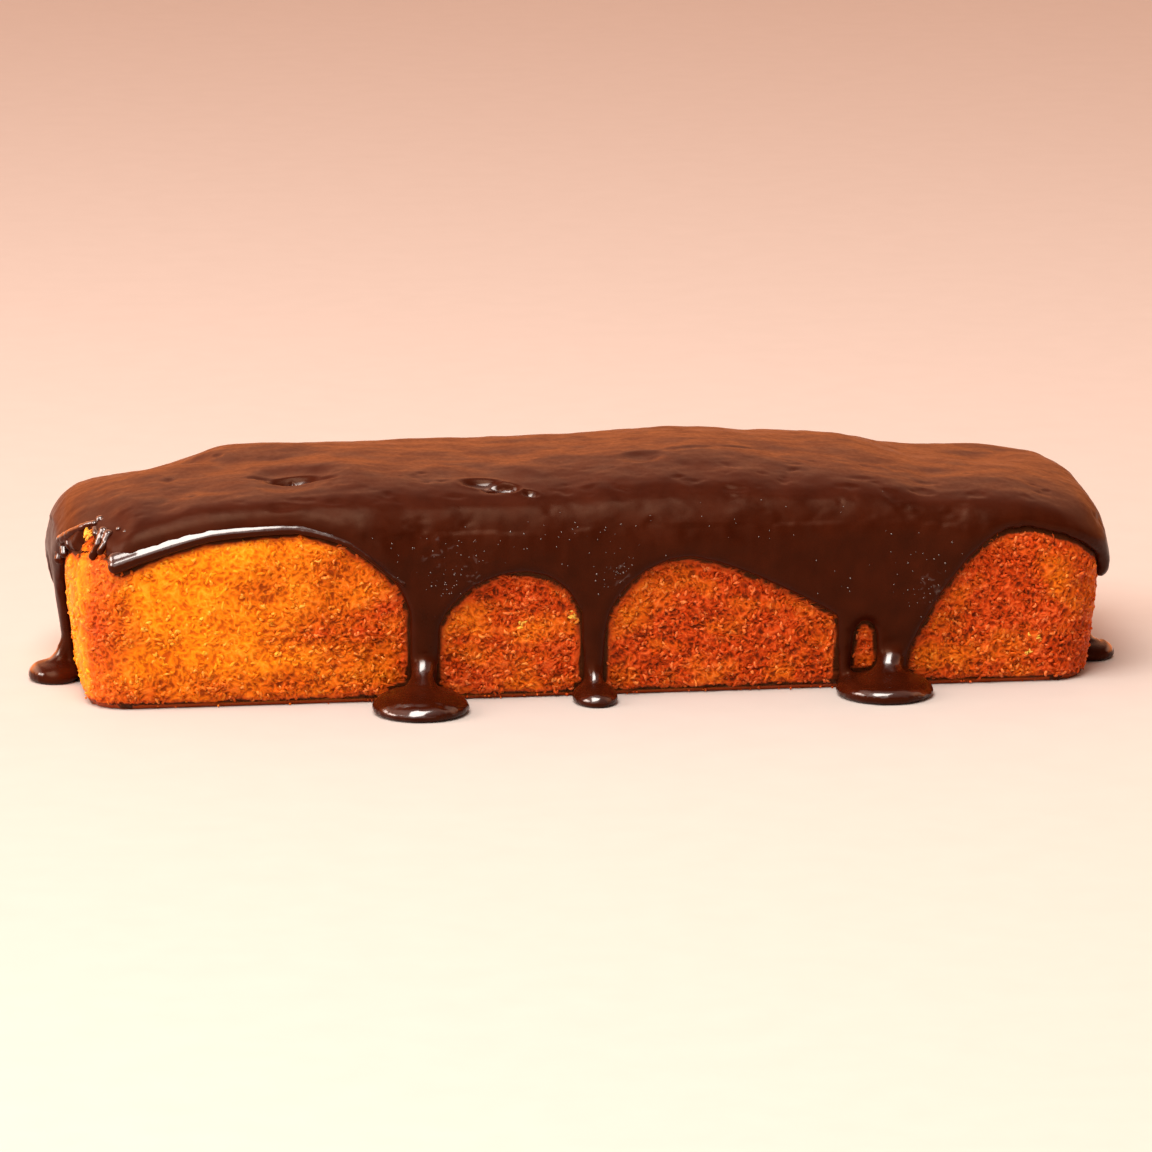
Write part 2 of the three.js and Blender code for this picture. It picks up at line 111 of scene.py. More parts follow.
def remesh_and_smooth(piece: bpy.types.Object, voxel: float, rounds: int) -> None:
    """Gives a piece an even mesh of small faces, and smooths it.

    Args:
        piece: The piece to change.
        voxel: Size of the faces.
        rounds: How often it is smoothed.
    """
    apply_modifier(piece, "REMESH", mode="VOXEL", voxel_size=voxel)
    apply_modifier(piece, "SMOOTH", factor=0.5, iterations=rounds)


def copy_of_solid(solid: bpy.types.Object, name: str) -> bpy.types.Object:
    """Copies a solid's mesh into a new piece and merges its loose triangles.

    Args:
        solid: The solid to copy.
        name: The new piece's name.

    Returns:
        The new piece, with no material.
    """
    piece = bpy.data.objects.new(name, solid.data.copy())
    bpy.context.scene.collection.objects.link(piece)
    piece.data.name = name
    piece.data.materials.clear()
    take(piece)
    bpy.ops.object.mode_set(mode="EDIT")
    bpy.ops.mesh.select_all(action="SELECT")
    bpy.ops.mesh.remove_doubles(threshold=0.01 * MM)
    bpy.ops.object.mode_set(mode="OBJECT")
    return piece


def piece_from_arrays(name: str, points: np.ndarray, faces: np.ndarray) -> bpy.types.Object:
    """Makes a piece from joined small shapes.

    Args:
        name: The piece's name.
        points: Places of its vertices.
        faces: Vertex numbers of its faces.

    Returns:
        The new piece, smooth-shaded.
    """
    mesh = bpy.data.meshes.new(name)
    mesh.from_pydata(points.tolist(), [], faces.tolist())
    piece = bpy.data.objects.new(name, mesh)
    bpy.context.scene.collection.objects.link(piece)
    smooth_shading(piece)
    return piece


def piece_of_copies(name: str, copies: list[np.ndarray], faces: np.ndarray) -> bpy.types.Object:
    """Makes one piece from many copies of a small shape.

    Args:
        name: The piece's name.
        copies: Places of each copy's vertices.
        faces: Vertex numbers of one copy's faces.

    Returns:
        The new piece, smooth-shaded.
    """
    starts = len(copies[0]) * np.arange(len(copies))[:, None, None]
    return piece_from_arrays(name, np.concatenate(copies), (faces[None] + starts).reshape(-1, 3))


def small_ball(splits: int = 2) -> tuple[np.ndarray, np.ndarray]:
    """Makes a ball of radius 1.

    Args:
        splits: How finely it is split: 2 gives 80 faces, 3 gives 320.

    Returns:
        Its vertices and its triangles.
    """
    clear_selection()
    bpy.ops.mesh.primitive_ico_sphere_add(subdivisions=splits, radius=1.0, location=(0.0, 0.0, 0.0))
    ball = bpy.context.object
    points = places_of(ball)
    vertices, _ = face_corners(ball)
    bpy.data.objects.remove(ball)
    return points, vertices.reshape(-1, 3)


def places_of(piece: bpy.types.Object) -> np.ndarray:
    """Gives the places of a piece's vertices."""
    flat = np.empty(3 * len(piece.data.vertices), np.float32)
    piece.data.vertices.foreach_get("co", flat)
    return flat.reshape(-1, 3).astype(float)


def outward_of(piece: bpy.types.Object) -> np.ndarray:
    """Gives the outward directions at a piece's vertices."""
    flat = np.empty(3 * len(piece.data.vertices), np.float32)
    piece.data.vertex_normals.foreach_get("vector", flat)
    return flat.reshape(-1, 3).astype(float)


def move_to(piece: bpy.types.Object, places: np.ndarray) -> None:
    """Moves a piece's vertices to new places."""
    piece.data.vertices.foreach_set("co", places.astype(np.float32).ravel())
    piece.data.update()


def paint_value(piece: bpy.types.Object, name: str, values: np.ndarray) -> None:
    """Stores one value a vertex, for the piece's material to read."""
    attribute = piece.data.attributes.new(name, "FLOAT", "POINT")
    attribute.data.foreach_set("value", values.astype(np.float32))


def paint_crumb(piece: bpy.types.Object, tone: np.ndarray, golden_and_lit: np.ndarray, browned_and_shaded: np.ndarray) -> None:
    """Stores the tone, the goldenness and the browning of each vertex of a piece of crumb, painted light and
    shade included.
    """
    for name, values in (("tone", tone), ("golden_and_lit", golden_and_lit), ("browned_and_shaded", browned_and_shaded)):
        paint_value(piece, name, values)


def select_faces(piece: bpy.types.Object, chosen: np.ndarray) -> None:
    """Opens a piece in edit mode with the chosen faces alone selected."""
    take(piece)
    bpy.ops.object.mode_set(mode="EDIT")
    bpy.ops.mesh.select_mode(type="FACE")
    bpy.ops.mesh.select_all(action="DESELECT")
    bpy.ops.object.mode_set(mode="OBJECT")
    piece.data.polygons.foreach_set("select", chosen.astype(bool))
    bpy.ops.object.mode_set(mode="EDIT")


def face_corners(piece: bpy.types.Object) -> tuple[np.ndarray, np.ndarray]:
    """Gives the vertex number of every face corner, and the face that each corner is in."""
    mesh = piece.data
    vertices = np.empty(len(mesh.loops), np.int32)
    mesh.loops.foreach_get("vertex_index", vertices)
    totals = np.empty(len(mesh.polygons), np.int32)
    mesh.polygons.foreach_get("loop_total", totals)
    return vertices, np.repeat(np.arange(len(totals)), totals)


def faces_with_any(piece: bpy.types.Object, marked: np.ndarray) -> np.ndarray:
    """Marks the faces that have at least one marked vertex."""
    vertices, faces = face_corners(piece)
    return np.bincount(faces, weights=marked[vertices], minlength=len(piece.data.polygons)) > 0


def ease(values: np.ndarray, low: float, high: float) -> np.ndarray:
    """Goes smoothly from 0 at low to 1 at high. Where low is above high, it falls."""
    share = np.clip((values - low) / (high - low), 0.0, 1.0)
    return share * share * (3.0 - 2.0 * share)


@dataclass(frozen=True)
class Lumps:
    """Soft random lumps, with a size along X, Y and Z, some finer layers and a full height."""

    size: Point
    layers: int
    seed: int
    height: float = 1.0

    def at(self, points: np.ndarray) -> np.ndarray:
        """Gives the lumps at each point, about -1 to 1 times their full height."""
        scaled = points / np.array(self.size) + LUMP_PATTERN_STEP * self.seed
        values = [noise.fractal(place, LUMP_FADE, LUMP_SPLIT, self.layers) for place in scaled]
        return self.height * np.array(values)


@dataclass(frozen=True)
class Ridges:
    """Curly ridges a distance apart, with pores between them."""

    size: float
    seed: int
    bend: float = 0.5
    bend_size: float = 0.7
    width: float = 0.30

    def at(self, points: np.ndarray) -> np.ndarray:
        """Gives the height of the ridges at each point: 1 on a crest, 0 in a pore."""
        scaled = points / self.size + RIDGE_PATTERN_STEP * self.seed
        heights = np.empty(len(scaled))
        for i, place in enumerate(scaled):
            bent = Vector(place) + self.bend * noise.noise_vector(self.bend_size * Vector(place))
            heights[i] = 1.0 - min(abs(noise.noise(bent)) / self.width, 1.0)
        return heights


@dataclass(frozen=True)
class Tear:
    """A round place at the front left corner where the glaze tore open and bares the crumb."""

    middle: Point
    reach: float


@dataclass
class Coverage:
    """Where the loaf's skin is bare, and how far away the glaze is."""

    loaf: BVHTree
    glaze: BVHTree
    start: float = 1.5 * MM
    reach: float = 3.0 * MM
    tears: tuple[Tear, ...] = (
        Tear(mm(-140.0, -33.0, 44.4), 5.4 * MM),
        Tear(mm(-136.4, -38.8, 44.4), 4.2 * MM),
    )

    @classmethod
    def between(cls, loaf: bpy.types.Object, glaze: bpy.types.Object) -> "Coverage":
        """Measures between two solids."""
        graph = bpy.context.evaluated_depsgraph_get()
        return cls(BVHTree.FromObject(loaf, graph), BVHTree.FromObject(glaze, graph))

    def bare(self, points: np.ndarray, outward: np.ndarray) -> np.ndarray:
        """Marks the points of the loaf's skin that no glaze lies on.

        Args:
            points: Places on the skin.
            outward: Outward direction at each.

        Returns:
            One mark a point.
        """
        length = self.start + self.reach
        marks = np.empty(len(points), bool)
        for i, (place, way) in enumerate(zip(points, outward)):
            way = Vector(way)
            marks[i] = self.glaze.ray_cast(Vector(place) - self.start * way, way, length)[0] is None
        return marks | (self.torn(points) > 0.0)

    def to_glaze(self, points: np.ndarray) -> np.ndarray:
        """Gives the distance from each point to the glaze."""
        away = np.array([self.glaze.find_nearest(Vector(place))[3] for place in points])
        return np.maximum(away, self.torn(points))

    def torn(self, points: np.ndarray) -> np.ndarray:
        """Gives how far inside a tear each point lies, below 0 outside."""
        inside = [
            tear.reach - np.linalg.norm(points - np.array(tear.middle), axis=1)
            for tear in self.tears
        ]
        return np.maximum.reduce(inside)

    def from_loaf(self, points: np.ndarray) -> tuple[np.ndarray, np.ndarray]:
        """Gives the distance from each point to the loaf, and the loaf's outward direction there."""
        found = [self.loaf.find_nearest(Vector(place)) for place in points]
        return np.array([near[3] for near in found]), np.array([near[1] for near in found])


@dataclass(frozen=True)
class Browning:
    """How brown the crumb gets over a span of some measure, and how ragged that span's ends are."""

    most: float
    span: Span
    ragged: float

    def at(self, measure: np.ndarray, uneven: np.ndarray) -> np.ndarray:
        """Gives the browning by a measure and an unevenness of each point."""
        return self.most * ease(measure + self.ragged * uneven, *self.span)


@dataclass(frozen=True)
class BakedTones:
    """Where the crumb turns yellow and where it turns brown, by the place on the loaf, painted light and
    shade included.
    """

    core_half: Span = mm(128, 32)
    lit_golden_middle: float = -117 * MM
    lit_golden_reach: Span = mm(17, 48)
    golden_rise: Span = mm(1, 16)
    golden_foot: float = 0.40
    lit_golden_most: float = 0.95
    golden_least: float = 0.02
    lit_end_golden: float = 0.85
    end_span: Span = mm(136, 141)
    patches: Lumps = Lumps(mm(17, 17, 12), 3, 1, 0.45)
    uneven: Lumps = Lumps(mm(6, 6, 9), 3, 2)
    corner: Browning = Browning(0.40, (0.60, 1.0), 0.35)
    beside: Browning = Browning(0.40, mm(122, 137), 4 * MM)
    ridge: Browning = Browning(0.65, mm(2.2, 0.4), 1.0 * MM)
    # Darker along the foot: partly a burned base edge, partly a painted contact shadow where the loaf meets
    # the floor.
    foot: Browning = Browning(1.0, mm(3.4, 1.4), 0.7 * MM)
    # Darker beside the glaze: partly crumb soaked by it, partly painted shade under its lips and beside its
    # drips.
    soak_and_shade: Browning = Browning(1.0, mm(2.6, 0.6), 0.6 * MM)
    front_edge: float = -40 * MM
    chamfer: tuple[Point, ...] = (
        mm(-137.3, -39.7, 2.3),
        mm(-139.1, -40.0, 13.6),
        mm(-139.5, -41.1, 27.0),
        mm(-135.1, -45.3, 33.6),
        mm(-129.5, -46.6, 38.5),
    )

    def golden_and_lit(self, points: np.ndarray) -> np.ndarray:
        """Gives how yellow the crumb is at each point, 0 to 1: partly its own colour, partly painted light
        that is strongest at the lit left end.
        """
        # Painted light: a yellow glow round the left end and on the left end face, partly the crumb's own
        # colour and partly light falling from the left; it is weaker near the foot.
        beside = points[:, 0] - self.lit_golden_middle
        away = beside / np.where(beside < 0.0, *self.lit_golden_reach)
        rise = self.golden_foot + (1.0 - self.golden_foot) * ease(points[:, 2], *self.golden_rise)
        glow = self.lit_golden_most * np.exp(-away * away) * rise
        end = self.lit_end_golden * ease(-points[:, 0], *self.end_span)
        return np.clip(np.maximum(glow, end) + self.golden_least + self.patches.at(points), 0.0, 1.0)

    def browned_and_shaded(self, points: np.ndarray, gap: np.ndarray) -> np.ndarray:
        """Gives how brown or soaked the crumb is at each point, 0 to 1, painted shade along the foot and
        beside the glaze included.

        Args:
            points: Places on the loaf.
            gap: Distance of each from the glaze.

        Returns:
            One value a point.
        """
        past = np.maximum(np.abs(points[:, :2]) - np.array(self.core_half), 0.0)
        length = np.maximum(np.hypot(past[:, 0], past[:, 1]), 1e-9)
        into_corner = 2.0 * past[:, 0] * past[:, 1] / (length * length)
        uneven = self.uneven.at(points)
        # Corner, beside and ridge are crust; along the foot and beside the glaze the browning also paints
        # shade.
        parts = (
            self.corner.at(into_corner, uneven),
            self.beside.at(-points[:, 0], uneven) * (points[:, 1] < self.front_edge),
            self.ridge.at(self.to_chamfer(points), uneven),
            self.foot.at(points[:, 2], uneven),
            self.soak_and_shade.at(gap, uneven),
        )
        return np.clip(np.maximum.reduce(parts), 0.0, 1.0)

    def to_chamfer(self, points: np.ndarray) -> np.ndarray:
        """Gives the distance from each point to the worn ridge at the front left corner."""
        nearest = np.full(len(points), np.inf)
        for first, last in zip(self.chamfer, self.chamfer[1:]):
            start = np.array(first)
            along = np.array(last) - start
            share = np.clip((points - start) @ along / (along @ along), 0.0, 1.0)
            away = points - start - share[:, None] * along
            nearest = np.minimum(nearest, np.linalg.norm(away, axis=1))
        return nearest


@dataclass
class Wiring:
    """Adds and joins the nodes of one node tree."""

    tree: bpy.types.NodeTree

    def add(self, kind: str, **settings: object) -> bpy.types.Node:
        """Adds a node and sets its own settings."""
        node = self.tree.nodes.new(kind)
        for name, value in settings.items():
            setattr(node, name, value)
        return node

    def feed(self, value: object, socket: bpy.types.NodeSocket) -> None:
        """Gives a socket its value: what another socket puts out, a number or a colour."""
        if isinstance(value, bpy.types.NodeSocket):
            self.tree.links.new(value, socket)
        else:
            socket.default_value = value

    def feed_all(self, node: bpy.types.Node, values: dict[str, object]) -> None:
        """Gives a node's named inputs their values."""
        for name, value in values.items():
            self.feed(value, node.inputs[name])

    def math(self, operation: str, first: object, second: object,
             clamp: bool = False) -> bpy.types.NodeSocket:
        """Adds a sum of two values, each a socket or a number.

        Args:
            operation: Blender's name for the sum.
            first: Its first value.
            second: Its second value.
            clamp: Keeps the result from 0 to 1.

        Returns:
            The result's socket.
        """
        node = self.add("ShaderNodeMath", operation=operation, use_clamp=clamp)
        self.feed(first, node.inputs[0])
        self.feed(second, node.inputs[1])
        return node.outputs[0]

    def mix(self, share: object, low: object, high: object) -> bpy.types.NodeSocket:
        """Adds a mix of two colours, each a socket or a colour.

        Args:
            share: How much of the second colour shows.
            low: The first colour.
            high: The second colour.

        Returns:
            The mixed colour's socket.
        """
        node = self.add("ShaderNodeMix", data_type="RGBA")
        for place, value in ((0, share), (6, low), (7, high)):
            self.feed(value, node.inputs[place])
        return node.outputs[2]

    def blend(self, share: object, low: object, high: object) -> bpy.types.NodeSocket:
        """Adds a mix of two values, in the way of a mix of two colours."""
        node = self.add("ShaderNodeMix", data_type="FLOAT")
        for place, value in ((0, share), (2, low), (3, high)):
            self.feed(value, node.inputs[place])
        return node.outputs[0]

    def noise(self, place: bpy.types.NodeSocket, size: float, detail: float) -> bpy.types.NodeSocket:
        """Adds soft noise with features of a size in metres."""
        node = self.add("ShaderNodeTexNoise")
        self.feed_all(node, {"Scale": 1.0 / size, "Detail": detail, "Vector": place})
        return node.outputs["Fac"]

    def bump(self, height: bpy.types.NodeSocket, strength: float, depth: float) -> bpy.types.NodeSocket:
        """Adds a bump of a strength, over a depth in metres."""
        node = self.add("ShaderNodeBump")
        self.feed_all(node, {"Strength": strength, "Distance": depth, "Height": height})
        return node.outputs["Normal"]

    def own_place(self) -> bpy.types.NodeSocket:
        """Gives the place on the piece, in its own frame."""
        return self.add("ShaderNodeTexCoord").outputs["Object"]

    def attribute(self, name: str) -> bpy.types.NodeSocket:
        """Reads a value stored on the piece's vertices."""
        return self.add("ShaderNodeAttribute", attribute_name=name).outputs["Fac"]


class SocketKind(Enum):
    """Kinds of value that a node group takes and gives."""

    VALUE = "NodeSocketFloat"
    COLOUR = "NodeSocketColor"


def new_group(name: str, inputs: dict[str, SocketKind],
              outputs: dict[str, SocketKind]) -> tuple[Wiring, bpy.types.Node, bpy.types.Node]:
    """Makes an empty shader node group.

    Args:
        name: The group's name.
        inputs: Kind of each named input.
        outputs: Kind of each named output.

    Returns:
        The wiring of the group, its input node and its output node.
    """
    group = bpy.data.node_groups.new(name, "ShaderNodeTree")
    for way, sockets in (("INPUT", inputs), ("OUTPUT", outputs)):
        for socket, kind in sockets.items():
            group.interface.new_socket(socket, in_out=way, socket_type=kind.value)
    wiring = Wiring(group)
    return wiring, wiring.add("NodeGroupInput"), wiring.add("NodeGroupOutput")


def baked_crumb_group() -> bpy.types.NodeTree:
    """Makes the group that colours baked crumb by its tone, goldenness and browning, painted light and shade
    included.
    """
    fleck_size = 1.1 * MM
    fleck_share = 0.45
    grain_size = 0.45 * MM
    burnt_and_shade_from = 0.78
    burnt_and_shade_rate = 5.0
    shares = ("Tone", "Golden And Lit", "Browned And Shaded")
    colours = ("Pore", "Flesh", "Tip", "Golden Pore", "Golden Flesh", "Golden Tip", "Crust", "Burnt And Shade")
    inputs = dict.fromkeys(shares, SocketKind.VALUE) | dict.fromkeys(colours, SocketKind.COLOUR)
    outputs = {"Colour": SocketKind.COLOUR, "Height": SocketKind.VALUE}
    wiring, start, end = new_group("baked_crumb", inputs, outputs)
    given = start.outputs
    place = wiring.own_place()
    fleck = wiring.math("SUBTRACT", wiring.noise(place, fleck_size, 3.0), 0.5)
    tone = wiring.math("ADD", given["Tone"], wiring.math("MULTIPLY", fleck, fleck_share), clamp=True)
    # Low tones take the pore colour and high ones the tip colour; on the crumb body that paints shade in the
    # pores and light on the crests.
    lower = wiring.math("MULTIPLY", tone, 2.0, clamp=True)
    upper = wiring.math("SUBTRACT", wiring.math("MULTIPLY", tone, 2.0), 1.0, clamp=True)
    plain, golden_and_lit = (
        wiring.mix(upper, wiring.mix(lower, given[pore], given[flesh]), given[tip])
        for pore, flesh, tip in (colours[0:3], colours[3:6])
    )
    crust = wiring.mix(given["Browned And Shaded"], wiring.mix(given["Golden And Lit"], plain, golden_and_lit), given["Crust"])
    # High values turn to the darkest colour: a burned base edge, and painted shade along the foot and under
    # the glaze's lips.
    past = wiring.math("SUBTRACT", given["Browned And Shaded"], burnt_and_shade_from)
    burnt_and_shade_share = wiring.math("MULTIPLY", past, burnt_and_shade_rate, clamp=True)
    wiring.feed_all(end, {
        "Colour": wiring.mix(burnt_and_shade_share, crust, given["Burnt And Shade"]),
        "Height": wiring.noise(place, grain_size, 4.0),
    })
    return wiring.tree


def glaze_skin_group() -> bpy.types.NodeTree:
    """Makes the group that gives set glaze its cloudy colour, its sheen and its fine ripples."""
    cloud_size = 7 * MM
    grain_size = 1.3 * MM
    fine_size = 3.0 * MM
    uneven_sheen = 0.25
    coat_from = 0.4
    coat_rate = 1.67
    fine_share = 0.7
    value = SocketKind.VALUE
    colour = SocketKind.COLOUR
    inputs = {"Gloss": value, "Deep": colour, "Milky": colour, "Satin": value, "Wet": value}
    outputs = {"Colour": colour, "Roughness": value, "Coat": value, "Height": value}
    wiring, start, end = new_group("glaze_skin", inputs, outputs)
    given = start.outputs
    place = wiring.own_place()
    cloud = wiring.noise(place, cloud_size, 5.0)
    grain = wiring.noise(place, grain_size, 5.0)
    fine = wiring.noise(place, fine_size, 3.0)
    uneven = wiring.math("SUBTRACT", wiring.math("ADD", grain, cloud), 1.0)
    satin = wiring.math("ADD", given["Satin"], wiring.math("MULTIPLY", uneven, uneven_sheen))
    wetness = wiring.math("SUBTRACT", given["Gloss"], coat_from)
    dull = wiring.math("SUBTRACT", 1.0, given["Gloss"], clamp=True)
    waves = wiring.math("MULTIPLY", fine, fine_share)
    height = wiring.math("ADD", waves, wiring.math("MULTIPLY", grain, 1.0 - fine_share))
    wiring.feed_all(end, {
        "Colour": wiring.mix(cloud, given["Deep"], given["Milky"]),
        "Roughness": wiring.blend(given["Gloss"], satin, given["Wet"]),
        "Coat": wiring.math("MULTIPLY", wetness, coat_rate, clamp=True),
        "Height": wiring.math("MULTIPLY", height, dull),
    })
    return wiring.tree


def new_material(name: str) -> tuple[bpy.types.Material, Wiring, bpy.types.Node]:
    """Makes a material with one Principled shader.

    Args:
        name: The material's name.

    Returns:
        The material, the wiring of its nodes, and its shader.
    """
    material = bpy.data.materials.new(name)
    material.use_nodes = True
    wiring = Wiring(material.node_tree)
    return material, wiring, material.node_tree.nodes["Principled BSDF"]


@dataclass(frozen=True)
class CrumbFinish:
    """Finish of baked crumb, of its body or of one kind of shred."""

    name: str
    # The pore colours are dark as painted shade in the crumb's hollows; the tip colours are light as painted
    # light on its crests, and colour the palest shreds.
    pore: Colour = (0.10, 0.008, 0.0015, 1.0)
    flesh: Colour = (0.52, 0.046, 0.003, 1.0)
    tip: Colour = (0.90, 0.18, 0.040, 1.0)
    # Yellow colours used where the left end glows: partly the crumb's own colour, partly painted light.
    lit_golden_pore: Colour = (0.60, 0.090, 0.002, 1.0)
    lit_golden_flesh: Colour = (0.95, 0.26, 0.004, 1.0)
    lit_golden_tip: Colour = (0.99, 0.46, 0.035, 1.0)
    crust: Colour = (0.44, 0.052, 0.007, 1.0)
    # Darkest crumb colour: a burned base edge, and painted shade at the foot and beside the glaze.
    burnt_and_shade: Colour = (0.045, 0.008, 0.002, 1.0)
    shine: Colour = (1.0, 0.62, 0.30, 1.0)
    roughness: float = 0.45
    specular: float = 0.20
    bump: float = 0.30
    bump_depth: float = 0.25 * MM
    glow: float = 0.35
    glow_reach: Point = mm(1.6, 0.5, 0.12)

    def material(self, group: bpy.types.NodeTree) -> bpy.types.Material:
        """Makes the material.

        Args:
            group: The group that colours baked crumb.

        Returns:
            The material.
        """
        material, wiring, shader = new_material(self.name)
        tones = wiring.add("ShaderNodeGroup", node_tree=group)
        wiring.feed_all(tones, {
            "Tone": wiring.attribute("tone"),
            "Golden And Lit": wiring.attribute("golden_and_lit"),
            "Browned And Shaded": wiring.attribute("browned_and_shaded"),
            "Pore": self.pore,
            "Flesh": self.flesh,
            "Tip": self.tip,
            "Golden Pore": self.lit_golden_pore,
            "Golden Flesh": self.lit_golden_flesh,
            "Golden Tip": self.lit_golden_tip,
            "Crust": self.crust,
            "Burnt And Shade": self.burnt_and_shade,
        })
        wiring.feed_all(shader, {
            "Base Color": tones.outputs["Colour"],
            "Roughness": self.roughness,
            "Specular IOR Level": self.specular,
            "Specular Tint": self.shine,
            "Subsurface Weight": self.glow,
            "Subsurface Radius": self.glow_reach,
            "Subsurface Scale": 1.0,
            "Normal": wiring.bump(tones.outputs["Height"], self.bump, self.bump_depth),
        })
        return material


@dataclass(frozen=True)
class GlazeFinish:
    """Finish of set chocolate glaze: satin where it skinned over, wet where it ran thick."""

    name: str
    deep: Colour = (0.018, 0.0021, 0.0005, 1.0)
    milky: Colour = (0.046, 0.0060, 0.0013, 1.0)
    # Tints all of the glaze's reflections warm: a painted reflection colour that stands in for the warm room
    # around it.
    warm: Colour = (1.0, 0.56, 0.34, 1.0)
    specular: float = 0.13
    satin: float = 0.36
    wet: float = 0.12
    ripple: float = 0.13
    ripple_depth: float = 0.3 * MM
    coat_roughness: float = 0.18
    coat_ior: float = 1.88

    def material(self, group: bpy.types.NodeTree) -> bpy.types.Material:
        """Makes the material.

        Args:
            group: The group that gives set glaze its look.

        Returns:
            The material.
        """
        material, wiring, shader = new_material(self.name)
        skin = wiring.add("ShaderNodeGroup", node_tree=group)
        wiring.feed_all(skin, {
            "Gloss": wiring.attribute("gloss"),
            "Deep": self.deep,
            "Milky": self.milky,
            "Satin": self.satin,
            "Wet": self.wet,
        })
        wiring.feed_all(shader, {
            "Base Color": skin.outputs["Colour"],
            "Roughness": skin.outputs["Roughness"],
            "Coat Weight": skin.outputs["Coat"],
            "Coat Roughness": self.coat_roughness,
            "Coat IOR": self.coat_ior,
            "Specular IOR Level": self.specular,
            "Specular Tint": self.warm,
            "Normal": wiring.bump(skin.outputs["Height"], self.ripple, self.ripple_depth),
        })
        return material


@dataclass(frozen=True)
class PitWell:
    """Room that is cleared under a deep pit of the glaze, where nothing shows."""

    middle: Span
    reach: float = 10 * MM
    depth: float = 3.4 * MM
    flat_from: Span = (0.3, 0.7)

    def depth_at(self, points: np.ndarray, outward: np.ndarray) -> np.ndarray:
        """Gives how much lower the hidden surfaces lie at each point, nothing on the loaf's sides."""
        away = np.hypot(points[:, 0] - self.middle[0], points[:, 1] - self.middle[1]) / self.reach
        return self.depth * np.exp(-away * away) * ease(outward[:, 2], *self.flat_from)


WELLS = (PitWell(mm(-81.5, -26.0)), PitWell(mm(-25.0, -37.5)))


def well_depth(points: np.ndarray, outward: np.ndarray) -> np.ndarray:
    """Gives how much lower the hidden surfaces under the pits lie.

    Args:
        points: Places on a hidden surface.
        outward: The loaf's outward direction at each.

    Returns:
        One depth a point.
    """
    return np.maximum.reduce([well.depth_at(points, outward) for well in WELLS])


